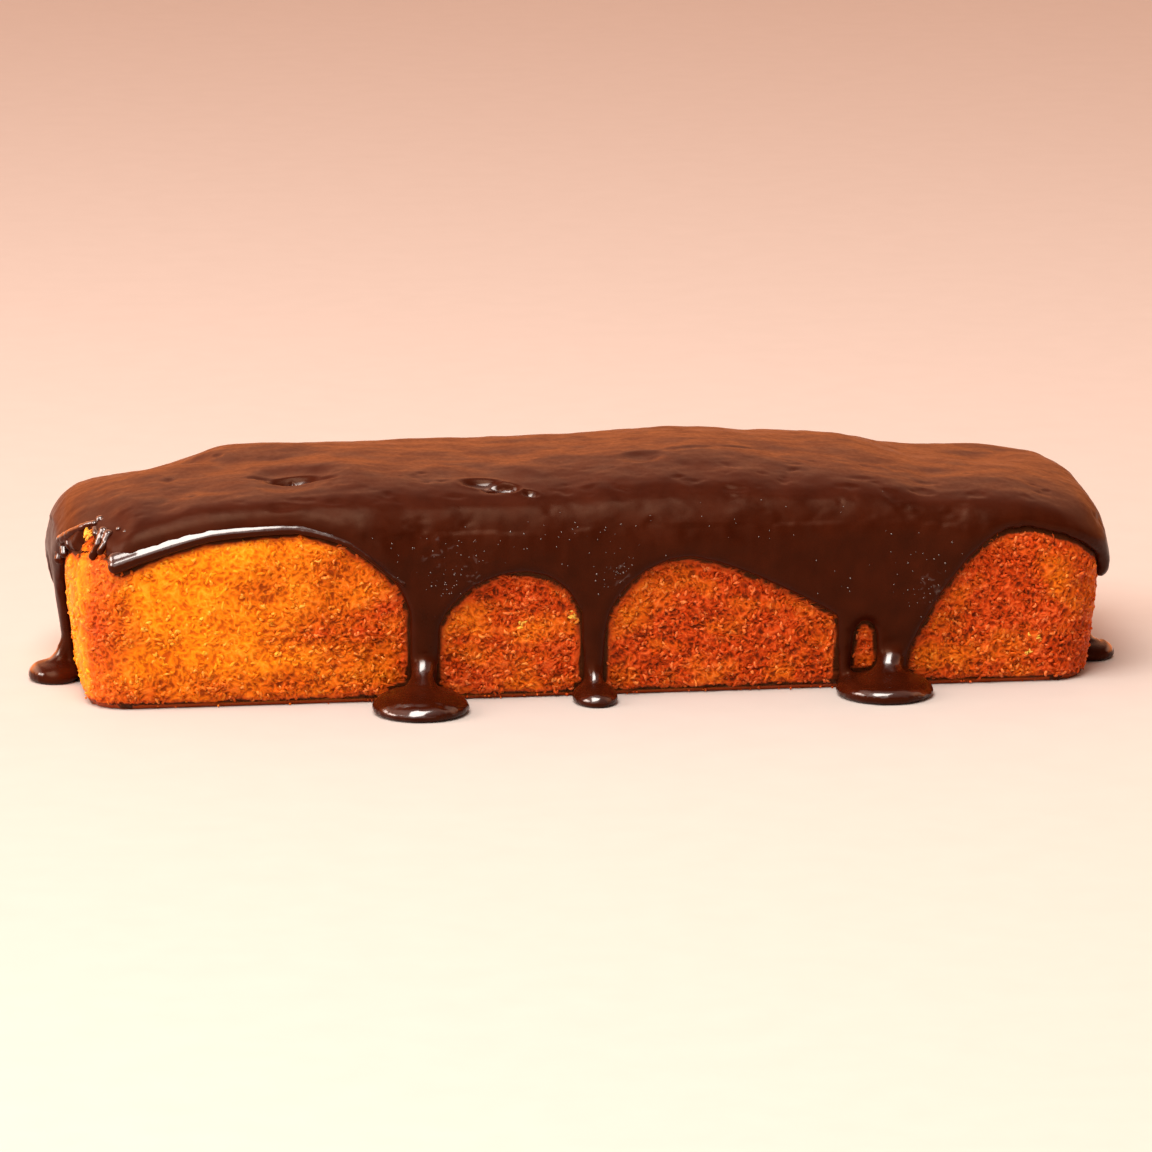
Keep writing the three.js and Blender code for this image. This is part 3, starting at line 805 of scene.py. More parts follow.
@dataclass
class CakeCrumb:
    """The loaf's body: its form, and the sponge of its bare sides."""

    solid: bpy.types.Object
    coverage: Coverage
    tones: BakedTones
    finish: CrumbFinish
    voxel: float = 1.6 * MM
    smoothing: int = 4
    hidden_share: float = 0.2
    base_height: float = 1.5 * MM
    base_facing: float = -0.75
    under_facing: float = -0.6
    front_facing: float = -0.5
    ridges: Ridges = Ridges(2.1 * MM, 1)
    fine_ridges: Ridges = Ridges(1.3 * MM, 2)
    fine_share: float = 0.85
    crest: float = 0.70
    depth: float = 0.75 * MM
    golden_calm: float = 0.5
    uneven: Lumps = Lumps(mm(9, 9, 9), 3, 4)
    swell: float = 0.45 * MM
    lip_span: Span = mm(0.3, 1.6)
    foot_span: Span = mm(0.2, 1.8)
    pore_tone: float = 0.06
    ridge_tone: float = 0.62
    uneven_tone: float = 0.15
    hidden_tone: float = 0.35
    hidden_golden: float = 0.2
    hidden_browned: float = 1.0
    under_browned: float = 0.85
    piece: bpy.types.Object = field(init=False)

    def build(self, group: bpy.types.NodeTree) -> bpy.types.Object:
        """Models and dresses the loaf's body.

        Args:
            group: The group that colours baked crumb.

        Returns:
            The piece.
        """
        self.piece = copy_of_solid(self.solid, "cake_crumb")
        remesh_and_smooth(self.piece, self.voxel, self.smoothing)
        self.flatten_base()
        self.refine()
        self.clear_wells()
        self.roughen()
        smooth_shading(self.piece)
        self.piece.data.materials.append(self.finish.material(group))
        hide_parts("cake")
        return self.piece

    def flatten_base(self) -> None:
        """Sets the underside flat on the floor."""
        places = places_of(self.piece)
        under = (outward_of(self.piece)[:, 2] < self.base_facing) & (places[:, 2] < self.base_height)
        places[under, 2] = 0.0
        places[:, 2] = np.maximum(places[:, 2], 0.0)
        move_to(self.piece, places)

    def sides(self) -> np.ndarray:
        """Marks the vertices of the loaf's bare sides."""
        outward = outward_of(self.piece)
        bare = self.coverage.bare(places_of(self.piece), outward)
        return bare & (outward[:, 2] > self.under_facing)

    def refine(self) -> None:
        """Thins the mesh where it is hidden, and splits it where it shows, most finely in front."""
        select_faces(self.piece, ~faces_with_any(self.piece, self.sides()))
        bpy.ops.mesh.decimate(ratio=self.hidden_share)
        clear_selection()
        self.split(self.sides())
        self.split(self.sides() & (outward_of(self.piece)[:, 1] < self.front_facing))

    def split(self, marked: np.ndarray) -> None:
        """Splits the faces that have a marked vertex."""
        select_faces(self.piece, faces_with_any(self.piece, marked))
        bpy.ops.mesh.subdivide(number_cuts=1)
        clear_selection()

    def clear_wells(self) -> None:
        """Lowers the hidden top under the glaze's deep pits."""
        places = places_of(self.piece)
        hidden = ~self.sides()
        places[hidden, 2] -= well_depth(places[hidden], outward_of(self.piece)[hidden])
        move_to(self.piece, places)

    def roughen(self) -> None:
        """Raises curly ridges on the bare sides, and stores their tones: dark in the pores for painted shade,
        light on the crests for painted light.
        """
        places = places_of(self.piece)
        outward = outward_of(self.piece)
        shown = np.flatnonzero(self.sides())
        points = places[shown]
        gap = self.coverage.to_glaze(points)
        lace = np.maximum(self.ridges.at(points), self.fine_share * self.fine_ridges.at(points))
        uneven = self.uneven.at(points)
        soft = self.tones.golden_and_lit(points)
        raised = self.depth * (1.0 - self.golden_calm * soft) * (lace - self.crest) + self.swell * uneven
        raised *= ease(gap, *self.lip_span) * ease(points[:, 2], *self.foot_span)
        places[shown] += raised[:, None] * outward[shown]
        move_to(self.piece, places)
        tone = np.full(len(places), self.hidden_tone)
        # Painted shade and light: pores get low tones and crests high ones.
        toned = self.pore_tone + self.ridge_tone * lace + self.uneven_tone * uneven
        tone[shown] = np.clip(toned, 0.0, 1.0)
        golden_and_lit = np.full(len(places), self.hidden_golden)
        golden_and_lit[shown] = soft
        under = outward[:, 2] < self.under_facing
        browned_and_shaded = np.where(under, self.under_browned, self.hidden_browned)
        browned_and_shaded[shown] = self.tones.browned_and_shaded(points, gap)
        paint_crumb(self.piece, tone, golden_and_lit, browned_and_shaded)


@dataclass
class BareGround:
    """The bare sides of the loaf, as faces for small things to grow on."""

    middles: np.ndarray
    outward: np.ndarray
    areas: np.ndarray

    @classmethod
    def of(cls, crumb: CakeCrumb) -> "BareGround":
        """Gathers the bare faces of the loaf's finished body."""
        mesh = crumb.piece.data
        count = len(mesh.polygons)
        middles = np.empty(3 * count, np.float32)
        outward = np.empty(3 * count, np.float32)
        areas = np.empty(count, np.float32)
        mesh.polygons.foreach_get("center", middles)
        mesh.polygons.foreach_get("normal", outward)
        mesh.polygons.foreach_get("area", areas)
        chosen = faces_with_any(crumb.piece, crumb.sides())
        return cls(
            middles.reshape(-1, 3)[chosen].astype(float),
            outward.reshape(-1, 3)[chosen].astype(float),
            areas[chosen].astype(float),
        )


class ShredKind(Enum):
    """Kinds of shred in the crumb, by how far they baked."""

    PALE = "pale_shreds"
    ORANGE = "orange_shreds"
    BROWNED = "browned_shreds"
    RAW = "raw_shreds"


@dataclass
class Shreds:
    """One kind of curly shred that stands out of the crumb, all in one mesh."""

    kind: ShredKind
    finish: CrumbFinish
    count: int
    golden_pull: float
    seed: int
    length: Span = mm(1.5, 3.2)
    thickness: Span = mm(0.36, 0.56)
    lift: Span = mm(0.10, 0.55)
    sink: float = 0.44 * MM
    curl: float = 2.4
    twist: float = 0.8
    skew: Span = (0.35, 0.65)
    rings: int = 6
    ring_sides: int = 4
    tone: Span = (0.45, 1.0)
    browned_share: float = 0.8
    plain_chance: float = 0.7
    scatter: float = 0.2 * MM
    edge_gap: float = 0.9 * MM
    lowest: float = 1.8 * MM

    def build(self, ground: BareGround, coverage: Coverage, tones: BakedTones,
              group: bpy.types.NodeTree) -> bpy.types.Object:
        """Grows the shreds on the bare crumb and dresses them.

        Args:
            ground: The faces that they grow on.
            coverage: Where the glaze is.
            tones: Where the crumb turns yellow and where it turns brown, painted light and shade included.
            group: The group that colours baked crumb.

        Returns:
            The piece.
        """
        random = np.random.default_rng(self.seed)
        roots, outward = self.roots(random, ground, coverage, tones)
        points, faces = self.curls(random, roots, outward)
        piece = piece_from_arrays(self.kind.value, points, faces)
        browned_and_shaded = self.browned_share * tones.browned_and_shaded(roots, coverage.to_glaze(roots))
        tone = random.uniform(*self.tone, len(roots))
        each = self.rings * self.ring_sides
        paint_crumb(piece, *(np.repeat(values, each) for values in (tone, tones.golden_and_lit(roots), browned_and_shaded)))
        piece.data.materials.append(self.finish.material(group))
        return piece

    def roots(self, random: np.random.Generator, ground: BareGround, coverage: Coverage,
              tones: BakedTones) -> tuple[np.ndarray, np.ndarray]:
        """Picks where the shreds grow.

        Args:
            random: Source of the random draws.
            ground: The faces that they grow on.
            coverage: Where the glaze is.
            tones: Where the crumb turns yellow, painted light included.

        Returns:
            The place and the outward direction of each shred.
        """
        chance = ground.areas / ground.areas.sum()
        tried = random.choice(len(chance), size=2 * self.count, p=chance)
        places = ground.middles[tried] + random.uniform(-self.scatter, self.scatter, (len(tried), 3))
        keep = random.random(len(tried)) < self.plain_chance + self.golden_pull * tones.golden_and_lit(places)
        keep &= coverage.to_glaze(places) > self.edge_gap
        keep &= places[:, 2] > self.lowest
        kept = np.flatnonzero(keep)[: self.count]
        return places[kept], ground.outward[tried[kept]]

    def curls(self, random: np.random.Generator, roots: np.ndarray,
              outward: np.ndarray) -> tuple[np.ndarray, np.ndarray]:
        """Shapes every shred as a thin bent tube whose ends dip into the crumb.

        Args:
            random: Source of the random draws.
            roots: Place of each shred.
            outward: Outward direction of each.

        Returns:
            Vertices and faces of all shreds together.
        """
        many = len(roots)
        spread = np.cross(outward, random.normal(size=(many, 3)))
        spread /= np.linalg.norm(spread, axis=1, keepdims=True)
        across = np.cross(outward, spread)
        share = np.linspace(0.0, 1.0, self.rings)
        length = random.uniform(*self.length, (many, 1))
        bend = random.normal(0.0, self.curl, (many, 1))
        twist = random.normal(0.0, self.twist, (many, 1))
        heading = bend * (share - 0.5) + twist * np.sin(2 * math.pi * share)
        step = length / (self.rings - 1)
        along = np.cumsum(np.cos(heading) * step, axis=1)
        aside = np.cumsum(np.sin(heading) * step, axis=1)
        along -= along.mean(axis=1, keepdims=True)
        aside -= aside.mean(axis=1, keepdims=True)
        lift = random.uniform(*self.lift, (many, 1))
        skew = random.uniform(*self.skew, (many, 1))
        arch = np.sin(math.pi * share ** (np.log(0.5) / np.log(skew)))
        height = lift * arch - self.sink
        middle = (
            roots[:, None]
            + along[..., None] * spread[:, None]
            + aside[..., None] * across[:, None]
            + height[..., None] * outward[:, None]
        )
        forward = np.gradient(middle, axis=1)
        forward /= np.linalg.norm(forward, axis=2, keepdims=True)
        side = np.cross(forward, np.broadcast_to(outward[:, None], forward.shape))
        side /= np.linalg.norm(side, axis=2, keepdims=True)
        upper = np.cross(side, forward)
        radius = random.uniform(*self.thickness, (many, 1)) * (0.5 + 0.5 * np.sin(math.pi * share))
        turn = np.linspace(0.0, 2 * math.pi, self.ring_sides, endpoint=False) + math.pi / 2
        points = (
            middle[:, :, None]
            + (radius[..., None] * np.cos(turn))[..., None] * side[:, :, None]
            + (radius[..., None] * np.sin(turn))[..., None] * upper[:, :, None]
        )
        flat = points.reshape(-1, 3)
        flat[:, 2] = np.maximum(flat[:, 2], 0.0)
        return flat, self.tube_faces(many)

    def tube_faces(self, many: int) -> np.ndarray:
        """Gives the triangles of all tubes, ends closed."""
        sides = self.ring_sides
        one = []
        for ring in range(self.rings - 1):
            for corner in range(sides):
                beside = (corner + 1) % sides
                low = ring * sides
                high = low + sides
                one.append((low + corner, high + corner, high + beside))
                one.append((low + corner, high + beside, low + beside))
        last = (self.rings - 1) * sides
        for corner in range(1, sides - 1):
            one.append((0, corner, corner + 1))
            one.append((last + corner + 1, last + corner, last))
        starts = np.arange(many)[:, None, None] * (self.rings * sides)
        return (np.array(one)[None] + starts).reshape(-1, 3)


@dataclass
class RawShreds(Shreds):
    """Pale bits of raw shred that show in a few spots, some through a hole in the glaze."""

    spots: tuple[Point, ...] = (
        mm(123.5, -45.6, 13.2),
        mm(121.7, -45.1, 8.8),
        mm(-21.4, -46.6, 21.2),
        mm(-6.2, -46.8, 22.8),
        mm(-139.4, -32.6, 48.2),
        mm(-138.6, -34.0, 48.0),
    )
    each: int = 5
    spread: float = 0.7 * MM

    def roots(self, random: np.random.Generator, ground: BareGround, coverage: Coverage,
              tones: BakedTones) -> tuple[np.ndarray, np.ndarray]:
        """Puts a few shreds in each spot, on the crumb or on the glaze.

        Args:
            random: Source of the random draws.
            ground: The bare crumb, unused.
            coverage: Where the loaf's and the glaze's skins are.
            tones: Where the crumb turns yellow, painted light included; unused.

        Returns:
            The place and the outward direction of each shred.
        """
        places = []
        outward = []
        for spot in self.spots:
            for away in random.normal(0.0, self.spread, (self.each, 3)):
                near = Vector(spot) + Vector(away)
                skins = (coverage.loaf.find_nearest(near), coverage.glaze.find_nearest(near))
                found = min(skins, key=lambda skin: skin[3])
                places.append(found[0])
                outward.append(found[1])
        return np.array(places), np.array(outward)


@dataclass(frozen=True)
class Dimple:
    """A hollow in the glaze's skin: a pit, a torn bubble or a long crease.

    A wall of 1 is a soft dish, and a higher one a flat-bottomed pit with steep sides.
    """

    middle: Span
    half: Span
    depth: float
    turn: float = 0.0
    rim: float = 0.0
    wall: float = 1.0
    rim_at: float = 1.15
    rim_width: float = 0.2

    def height_at(self, points: np.ndarray) -> np.ndarray:
        """Gives how far the dimple raises or lowers the skin at each point."""
        turn = math.radians(self.turn)
        dx = points[:, 0] - self.middle[0]
        dy = points[:, 1] - self.middle[1]
        along = (dx * math.cos(turn) + dy * math.sin(turn)) / self.half[0]
        across = (dy * math.cos(turn) - dx * math.sin(turn)) / self.half[1]
        reach = np.hypot(along, across)
        bowl = np.clip(1.0 - reach ** (2.0 * self.wall), 0.0, 1.0)
        rim = np.exp(-(((reach - self.rim_at) / self.rim_width) ** 2))
        return self.rim * rim - self.depth * bowl * np.sqrt(bowl)


@dataclass
class PouredGlaze:
    """The chocolate glaze as it set: an even skin with ripples and pits, round lips and wet pools."""

    solid: bpy.types.Object
    coverage: Coverage
    finish: GlazeFinish
    voxel: float = 0.86 * MM
    smoothing: int = 7
    skin_smoothing: int = 31
    skin_span: Span = mm(4, 10)
    skin_thickness: float = 3.5 * MM
    hidden_share: float = 0.1
    inside_depth: float = 1.3 * MM
    inside_facing: float = -0.3
    buried: float = 0.9 * MM
    buried_above: float = 45 * MM
    root_depth: float = 0.8 * MM
    outer_from: float = 1.0 * MM
    outer_facing: float = 0.2
    top_facing: float = 0.35
    broad: Lumps = Lumps(mm(24, 24, 20), 2, 5, 0.75 * MM)
    long: Lumps = Lumps(mm(34, 6, 12), 2, 9, 0.12 * MM)
    short: Lumps = Lumps(mm(10, 8, 8), 3, 6, 0.24 * MM)
    rear_span: Span = mm(-20, 25)
    lip_calm: float = 0.15
    lip_span: Span = mm(4, 11)
    brow: float = 0.9 * MM
    brow_along: tuple[Span, Span] = (mm(-136, -128), mm(-50, -66))
    brow_edge: tuple[Span, Span] = (mm(4, 9), mm(24, 12))
    dents: Lumps = Lumps(mm(8, 6, 7), 3, 12)
    dent_span: Span = (0.28, 0.80)
    dent_front: Span = mm(-6, -34)
    dent_edge: Span = mm(5, 11)
    dent_depth: float = 0.36 * MM
    thinnest: float = 0.5 * MM
    runs: Lumps = Lumps(mm(4.5, 9, 11), 3, 7, 0.30 * MM)
    runs_above: float = 15 * MM
    runs_span: Span = mm(2, 6)
    crumple: Lumps = Lumps(mm(3.6, 2.4, 2.4), 2, 10)
    crinkle: float = 0.42 * MM
    tear_span: Span = mm(0, 1.5)
    tear_depth: float = 1.4 * MM
    facing_span: Span = (0.1, 0.5)
    rising_span: Span = (0.10, 0.40)
    pool_out: Span = mm(3.0, 5.0)
    pool_below: Span = mm(18, 13)
    lip_gloss: float = 0.10
    lip_gloss_span: Span = mm(6.0, 2.5)
    wet_pit_depth: float = 1.0 * MM
    pit_gloss_span: Span = (1.0, 0.4)
    stem_gloss: float = 0.35
    stem_out: Span = mm(2.4, 3.6)
    stem_below: Span = mm(34, 26)
    neck_gloss: float = 0.8
    fold_span: Span = (0.45, 0.95)
    necks: tuple[Point, ...] = (mm(-44, 43, 7), mm(-35, 38, 6), mm(5, 36, 5), mm(93, 29, 7))
    dimples: tuple[Dimple, ...] = (
        Dimple(mm(-81.5, -26.0), mm(8.0, 3.5), 2.5 * MM, -5.0, 0.10 * MM, 1.6),
        Dimple(mm(-90.0, -22.5), mm(5.5, 1.8), 0.7 * MM, -14.0),
        Dimple(mm(-73.0, -27.8), mm(5.0, 1.6), 0.7 * MM, -8.0),
        Dimple(mm(-30.5, -35.0), mm(6.0, 3.2), 1.8 * MM, -10.0, 0.20 * MM, 1.4),
        Dimple(mm(-24.0, -38.0), mm(4.2, 2.4), 1.5 * MM, -25.0, 0.30 * MM, 1.4),
        Dimple(mm(-18.0, -42.0), mm(2.6, 1.5), 1.2 * MM, -25.0, 0.30 * MM),
        Dimple(mm(16.0, -21.5), mm(7.5, 5.5), 0.9 * MM, 5.0, 0.0, 1.3),
        Dimple(mm(30.0, -15.5), mm(9.0, 2.4), 0.55 * MM, 14.0),
        Dimple(mm(45.0, -12.0), mm(9.0, 2.0), 0.45 * MM, 8.0),
        Dimple(mm(-115.0, -13.9), mm(2.4, 2.6), 0.5 * MM),
        Dimple(mm(-86.4, -46.0), mm(5.0, 1.8), 0.45 * MM),
        Dimple(mm(-72.1, -45.0), mm(4.0, 1.4), 0.30 * MM),
        Dimple(mm(-38.8, -42.3), mm(4.0, 1.3), 0.35 * MM),
        Dimple(mm(-99.0, 10.6), mm(1.8, 2.4), 0.5 * MM),
        Dimple(mm(74.7, -37.4), mm(5.0, 1.6), 0.30 * MM),
        Dimple(mm(93.7, -34.2), mm(5.0, 1.8), 0.30 * MM),
        Dimple(mm(47.6, -35.2), mm(2.0, 1.2), 0.25 * MM),
    )
    bare: KDTree = field(init=False)
    piece: bpy.types.Object = field(init=False)

    def build(self, ground: BareGround, group: bpy.types.NodeTree) -> bpy.types.Object:
        """Models and dresses the glaze.

        Args:
            ground: The bare crumb beside it.
            group: The group that gives set glaze its look.

        Returns:
            The piece.
        """
        self.piece = copy_of_solid(self.solid, "poured_glaze")
        remesh_and_smooth(self.piece, self.voxel, self.smoothing)
        self.bare = KDTree(len(ground.middles))
        for i, place in enumerate(ground.middles):
            self.bare.insert(place, i)
        self.bare.balance()
        self.even_skin()
        self.sink_roots()
        self.ripple()
        self.thin_inside()
        self.polish()
        smooth_shading(self.piece)
        self.piece.data.materials.append(self.finish.material(group))
        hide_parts("chocolate_glaze")
        return self.piece

    def to_edge(self, points: np.ndarray) -> np.ndarray:
        """Gives the distance from each point to the nearest bare crumb."""
        return np.array([self.bare.find(place)[2] for place in points])

    def even_skin(self) -> None:
        """Evens out the skin away from its lips and pools."""
        points = places_of(self.piece)
        away, _ = self.coverage.from_loaf(points)
        weight = ease(self.to_edge(points), *self.skin_span) * (away < self.skin_thickness)
        skin = self.piece.vertex_groups.new(name="skin")
        for share in range(1, 11):
            chosen = np.flatnonzero(np.ceil(10 * weight) == share)
            skin.add(chosen.tolist(), share / 10, "REPLACE")
        apply_modifier(self.piece, "SMOOTH", factor=0.5, iterations=self.skin_smoothing, vertex_group="skin")
        self.piece.vertex_groups.clear()

    def inside(self) -> tuple[np.ndarray, np.ndarray]:
        """Marks the vertices of the glaze's underside, and gives the loaf's outward direction at each."""
        away, outward = self.coverage.from_loaf(places_of(self.piece))
        facing = (outward_of(self.piece) * outward).sum(axis=1)
        return (away < self.inside_depth) & (facing < self.inside_facing), outward

    def sink_roots(self) -> None:
        """Lets the underside sink a little into the crumb, so that no gap shows."""
        marks, outward = self.inside()
        places = places_of(self.piece)
        places[marks] -= self.root_depth * outward[marks]
        places[marks, 2] -= well_depth(places[marks], outward[marks])
        places[:, 2] = np.maximum(places[:, 2], 0.0)
        move_to(self.piece, places)

    def ripple(self) -> None:
        """Draws ripples and pits into the skin and tears it open, and leaves its lips smooth."""
        places = places_of(self.piece)
        outward = outward_of(self.piece)
        away, loaf_way = self.coverage.from_loaf(places)
        outer = (away > self.outer_from) & ((outward * loaf_way).sum(axis=1) > self.outer_facing)
        upper = outward[:, 2] > self.top_facing
        top = np.flatnonzero(outer & upper)
        room = away[top] + well_depth(places[top], loaf_way[top])
        raised = np.maximum(self.top_relief(places[top]), self.thinnest - room)
        front = np.flatnonzero(outer & ~upper & (places[:, 2] > self.runs_above))
        runs = self.runs.at(places[front]) + self.crinkles(places[front])
        runs *= ease(self.to_edge(places[front]), *self.runs_span)
        places[top] += raised[:, None] * outward[top]
        places[front] += runs[:, None] * outward[front]
        torn = ease(self.coverage.torn(places), *self.tear_span) * outer
        places -= (torn * (away + self.tear_depth))[:, None] * loaf_way
        places[:, 2] = np.maximum(places[:, 2], 0.0)
        move_to(self.piece, places)

    def top_relief(self, points: np.ndarray) -> np.ndarray:
        """Gives how far ripples, dents and pits raise or lower the skin on the top."""
        rear = ease(points[:, 1], *self.rear_span)
        edge = self.to_edge(points)
        raised = self.broad.at(points) + rear * self.long.at(points) + self.short.at(points)
        raised *= self.lip_calm + (1.0 - self.lip_calm) * ease(edge, *self.lip_span)
        brow = (points[:, 1] < 0.0) * self.brow
        for span in self.brow_along:
            brow = brow * ease(points[:, 0], *span)
        for span in self.brow_edge:
            brow = brow * ease(edge, *span)
        dents = ease(self.dents.at(points), *self.dent_span) * ease(points[:, 1], *self.dent_front)
        raised += brow - self.dent_depth * dents * ease(edge, *self.dent_edge)
        for dimple in self.dimples:
            raised += dimple.height_at(points)
        return raised

    def crinkles(self, points: np.ndarray) -> np.ndarray:
        """Gives the height of the fine wrinkles where the runs narrow into drips."""
        return self.crinkle * self.near_necks(points) * self.folds(points)

    def folds(self, points: np.ndarray) -> np.ndarray:
        """Gives the height of a crumpled skin, up to 1 along its folds."""
        return 1.0 - 2.0 * np.abs(self.crumple.at(points))

    def near_necks(self, points: np.ndarray) -> np.ndarray:
        """Gives how near each point is to a place where the front runs narrow, 0 to 1."""
        near = np.zeros(len(points))
        for x, z, reach in self.necks:
            away = np.hypot(points[:, 0] - x, points[:, 2] - z) / reach
            near = np.maximum(near, np.exp(-away * away) * (points[:, 1] < 0.0))
        return near

    def thin_inside(self) -> None:
        """Thins the mesh of the underside, which never shows."""
        marks, _ = self.inside()
        places = places_of(self.piece)
        away, _ = self.coverage.from_loaf(places)
        hidden = marks | (away < self.buried) & (places[:, 2] > self.buried_above)
        select_faces(self.piece, ~faces_with_any(self.piece, ~hidden))
        bpy.ops.mesh.decimate(ratio=self.hidden_share)
        clear_selection()

    def polish(self) -> None:
        """Stores where the glaze is wet: in its pools and pits, and a little on its lips."""
        points = places_of(self.piece)
        outward = outward_of(self.piece)
        away, loaf_way = self.coverage.from_loaf(points)
        facing = ease((outward * loaf_way).sum(axis=1), *self.facing_span)
        pool = ease(away, *self.pool_out) * ease(points[:, 2], *self.pool_below)
        pool *= facing * ease(outward[:, 2], *self.rising_span)
        lip = self.lip_gloss * ease(self.to_edge(points), *self.lip_gloss_span)
        stem = self.stem_gloss * ease(away, *self.stem_out) * ease(points[:, 2], *self.stem_below)
        folds = ease(self.folds(points), *self.fold_span)
        neck = self.neck_gloss * self.near_necks(points) * folds * facing
        wet = [pool, lip, stem, neck]
        for dimple in self.dimples:
            if dimple.depth > self.wet_pit_depth:
                flat = (points[:, :2] - np.array(dimple.middle)) / np.array(dimple.half)
                wet.append(ease(np.hypot(flat[:, 0], flat[:, 1]), *self.pit_gloss_span))
        paint_value(self.piece, "gloss", np.maximum.reduce(wet))


@dataclass(frozen=True)
class Froth:
    """A patch of small bubbles on the front: its middle and its spread along X and Z, and how many."""

    middle: Span
    spread: Span
    count: int


@dataclass
class GlazeBubbles:
    """Small bubbles that set in the front of the glaze, all in one mesh."""

    finish: GlazeFinish
    patches: tuple[Froth, ...] = (
        Froth(mm(-50, 41), mm(7, 4), 16),
        Froth(mm(-42, 34), mm(3, 3), 30),
        Froth(mm(-33, 45), mm(9, 3), 22),
        Froth(mm(-7, 46), mm(13, 4), 34),
        Froth(mm(4.5, 35), mm(2.5, 3), 30),
        Froth(mm(92, 27), mm(4, 6), 36),
        Froth(mm(78, 33), mm(10, 7), 22),
        Froth(mm(40, 47), mm(20, 4), 14),
        Froth(mm(10, 42), mm(90, 6), 16),
    )
    radius: Span = mm(0.14, 0.36)
    shrink: Span = (0.6, 1.0)
    proud: float = 0.25
    from_front: float = -100 * MM
    front_edge: float = -35 * MM
    seed: int = 21

    def build(self, poured: PouredGlaze, group: bpy.types.NodeTree) -> bpy.types.Object:
        """Sets the bubbles in the glaze and dresses them.

        Args:
            poured: The glaze that they sit in.
            group: The group that gives set glaze its look.

        Returns:
            The piece.
        """
        random = np.random.default_rng(self.seed)
        skin = BVHTree.FromObject(poured.piece, bpy.context.evaluated_depsgraph_get())
        ball, faces = small_ball()
        copies = []
        for patch in self.patches:
            for away in random.normal(0.0, 1.0, (patch.count, 2)):
                x = patch.middle[0] + away[0] * patch.spread[0]
                z = patch.middle[1] + away[1] * patch.spread[1]
                place, outward, _, _ = skin.ray_cast(Vector((x, self.from_front, z)), Vector((0.0, 1.0, 0.0)))
                radius = random.uniform(*self.radius) * random.uniform(*self.shrink)
                if place is None or place.y > self.front_edge:
                    continue
                middle = np.array(place) - self.proud * radius * np.array(outward)
                copies.append(middle + radius * ball)
        piece = piece_of_copies("glaze_bubbles", copies, faces)
        paint_value(piece, "gloss", np.ones(len(piece.data.vertices)))
        piece.data.materials.append(self.finish.material(group))
        return piece


@dataclass(frozen=True)
class Dribble:
    """A short thick run of glaze: a path of points, each with its radius, in millimetres."""

    path: tuple[Stop, ...]


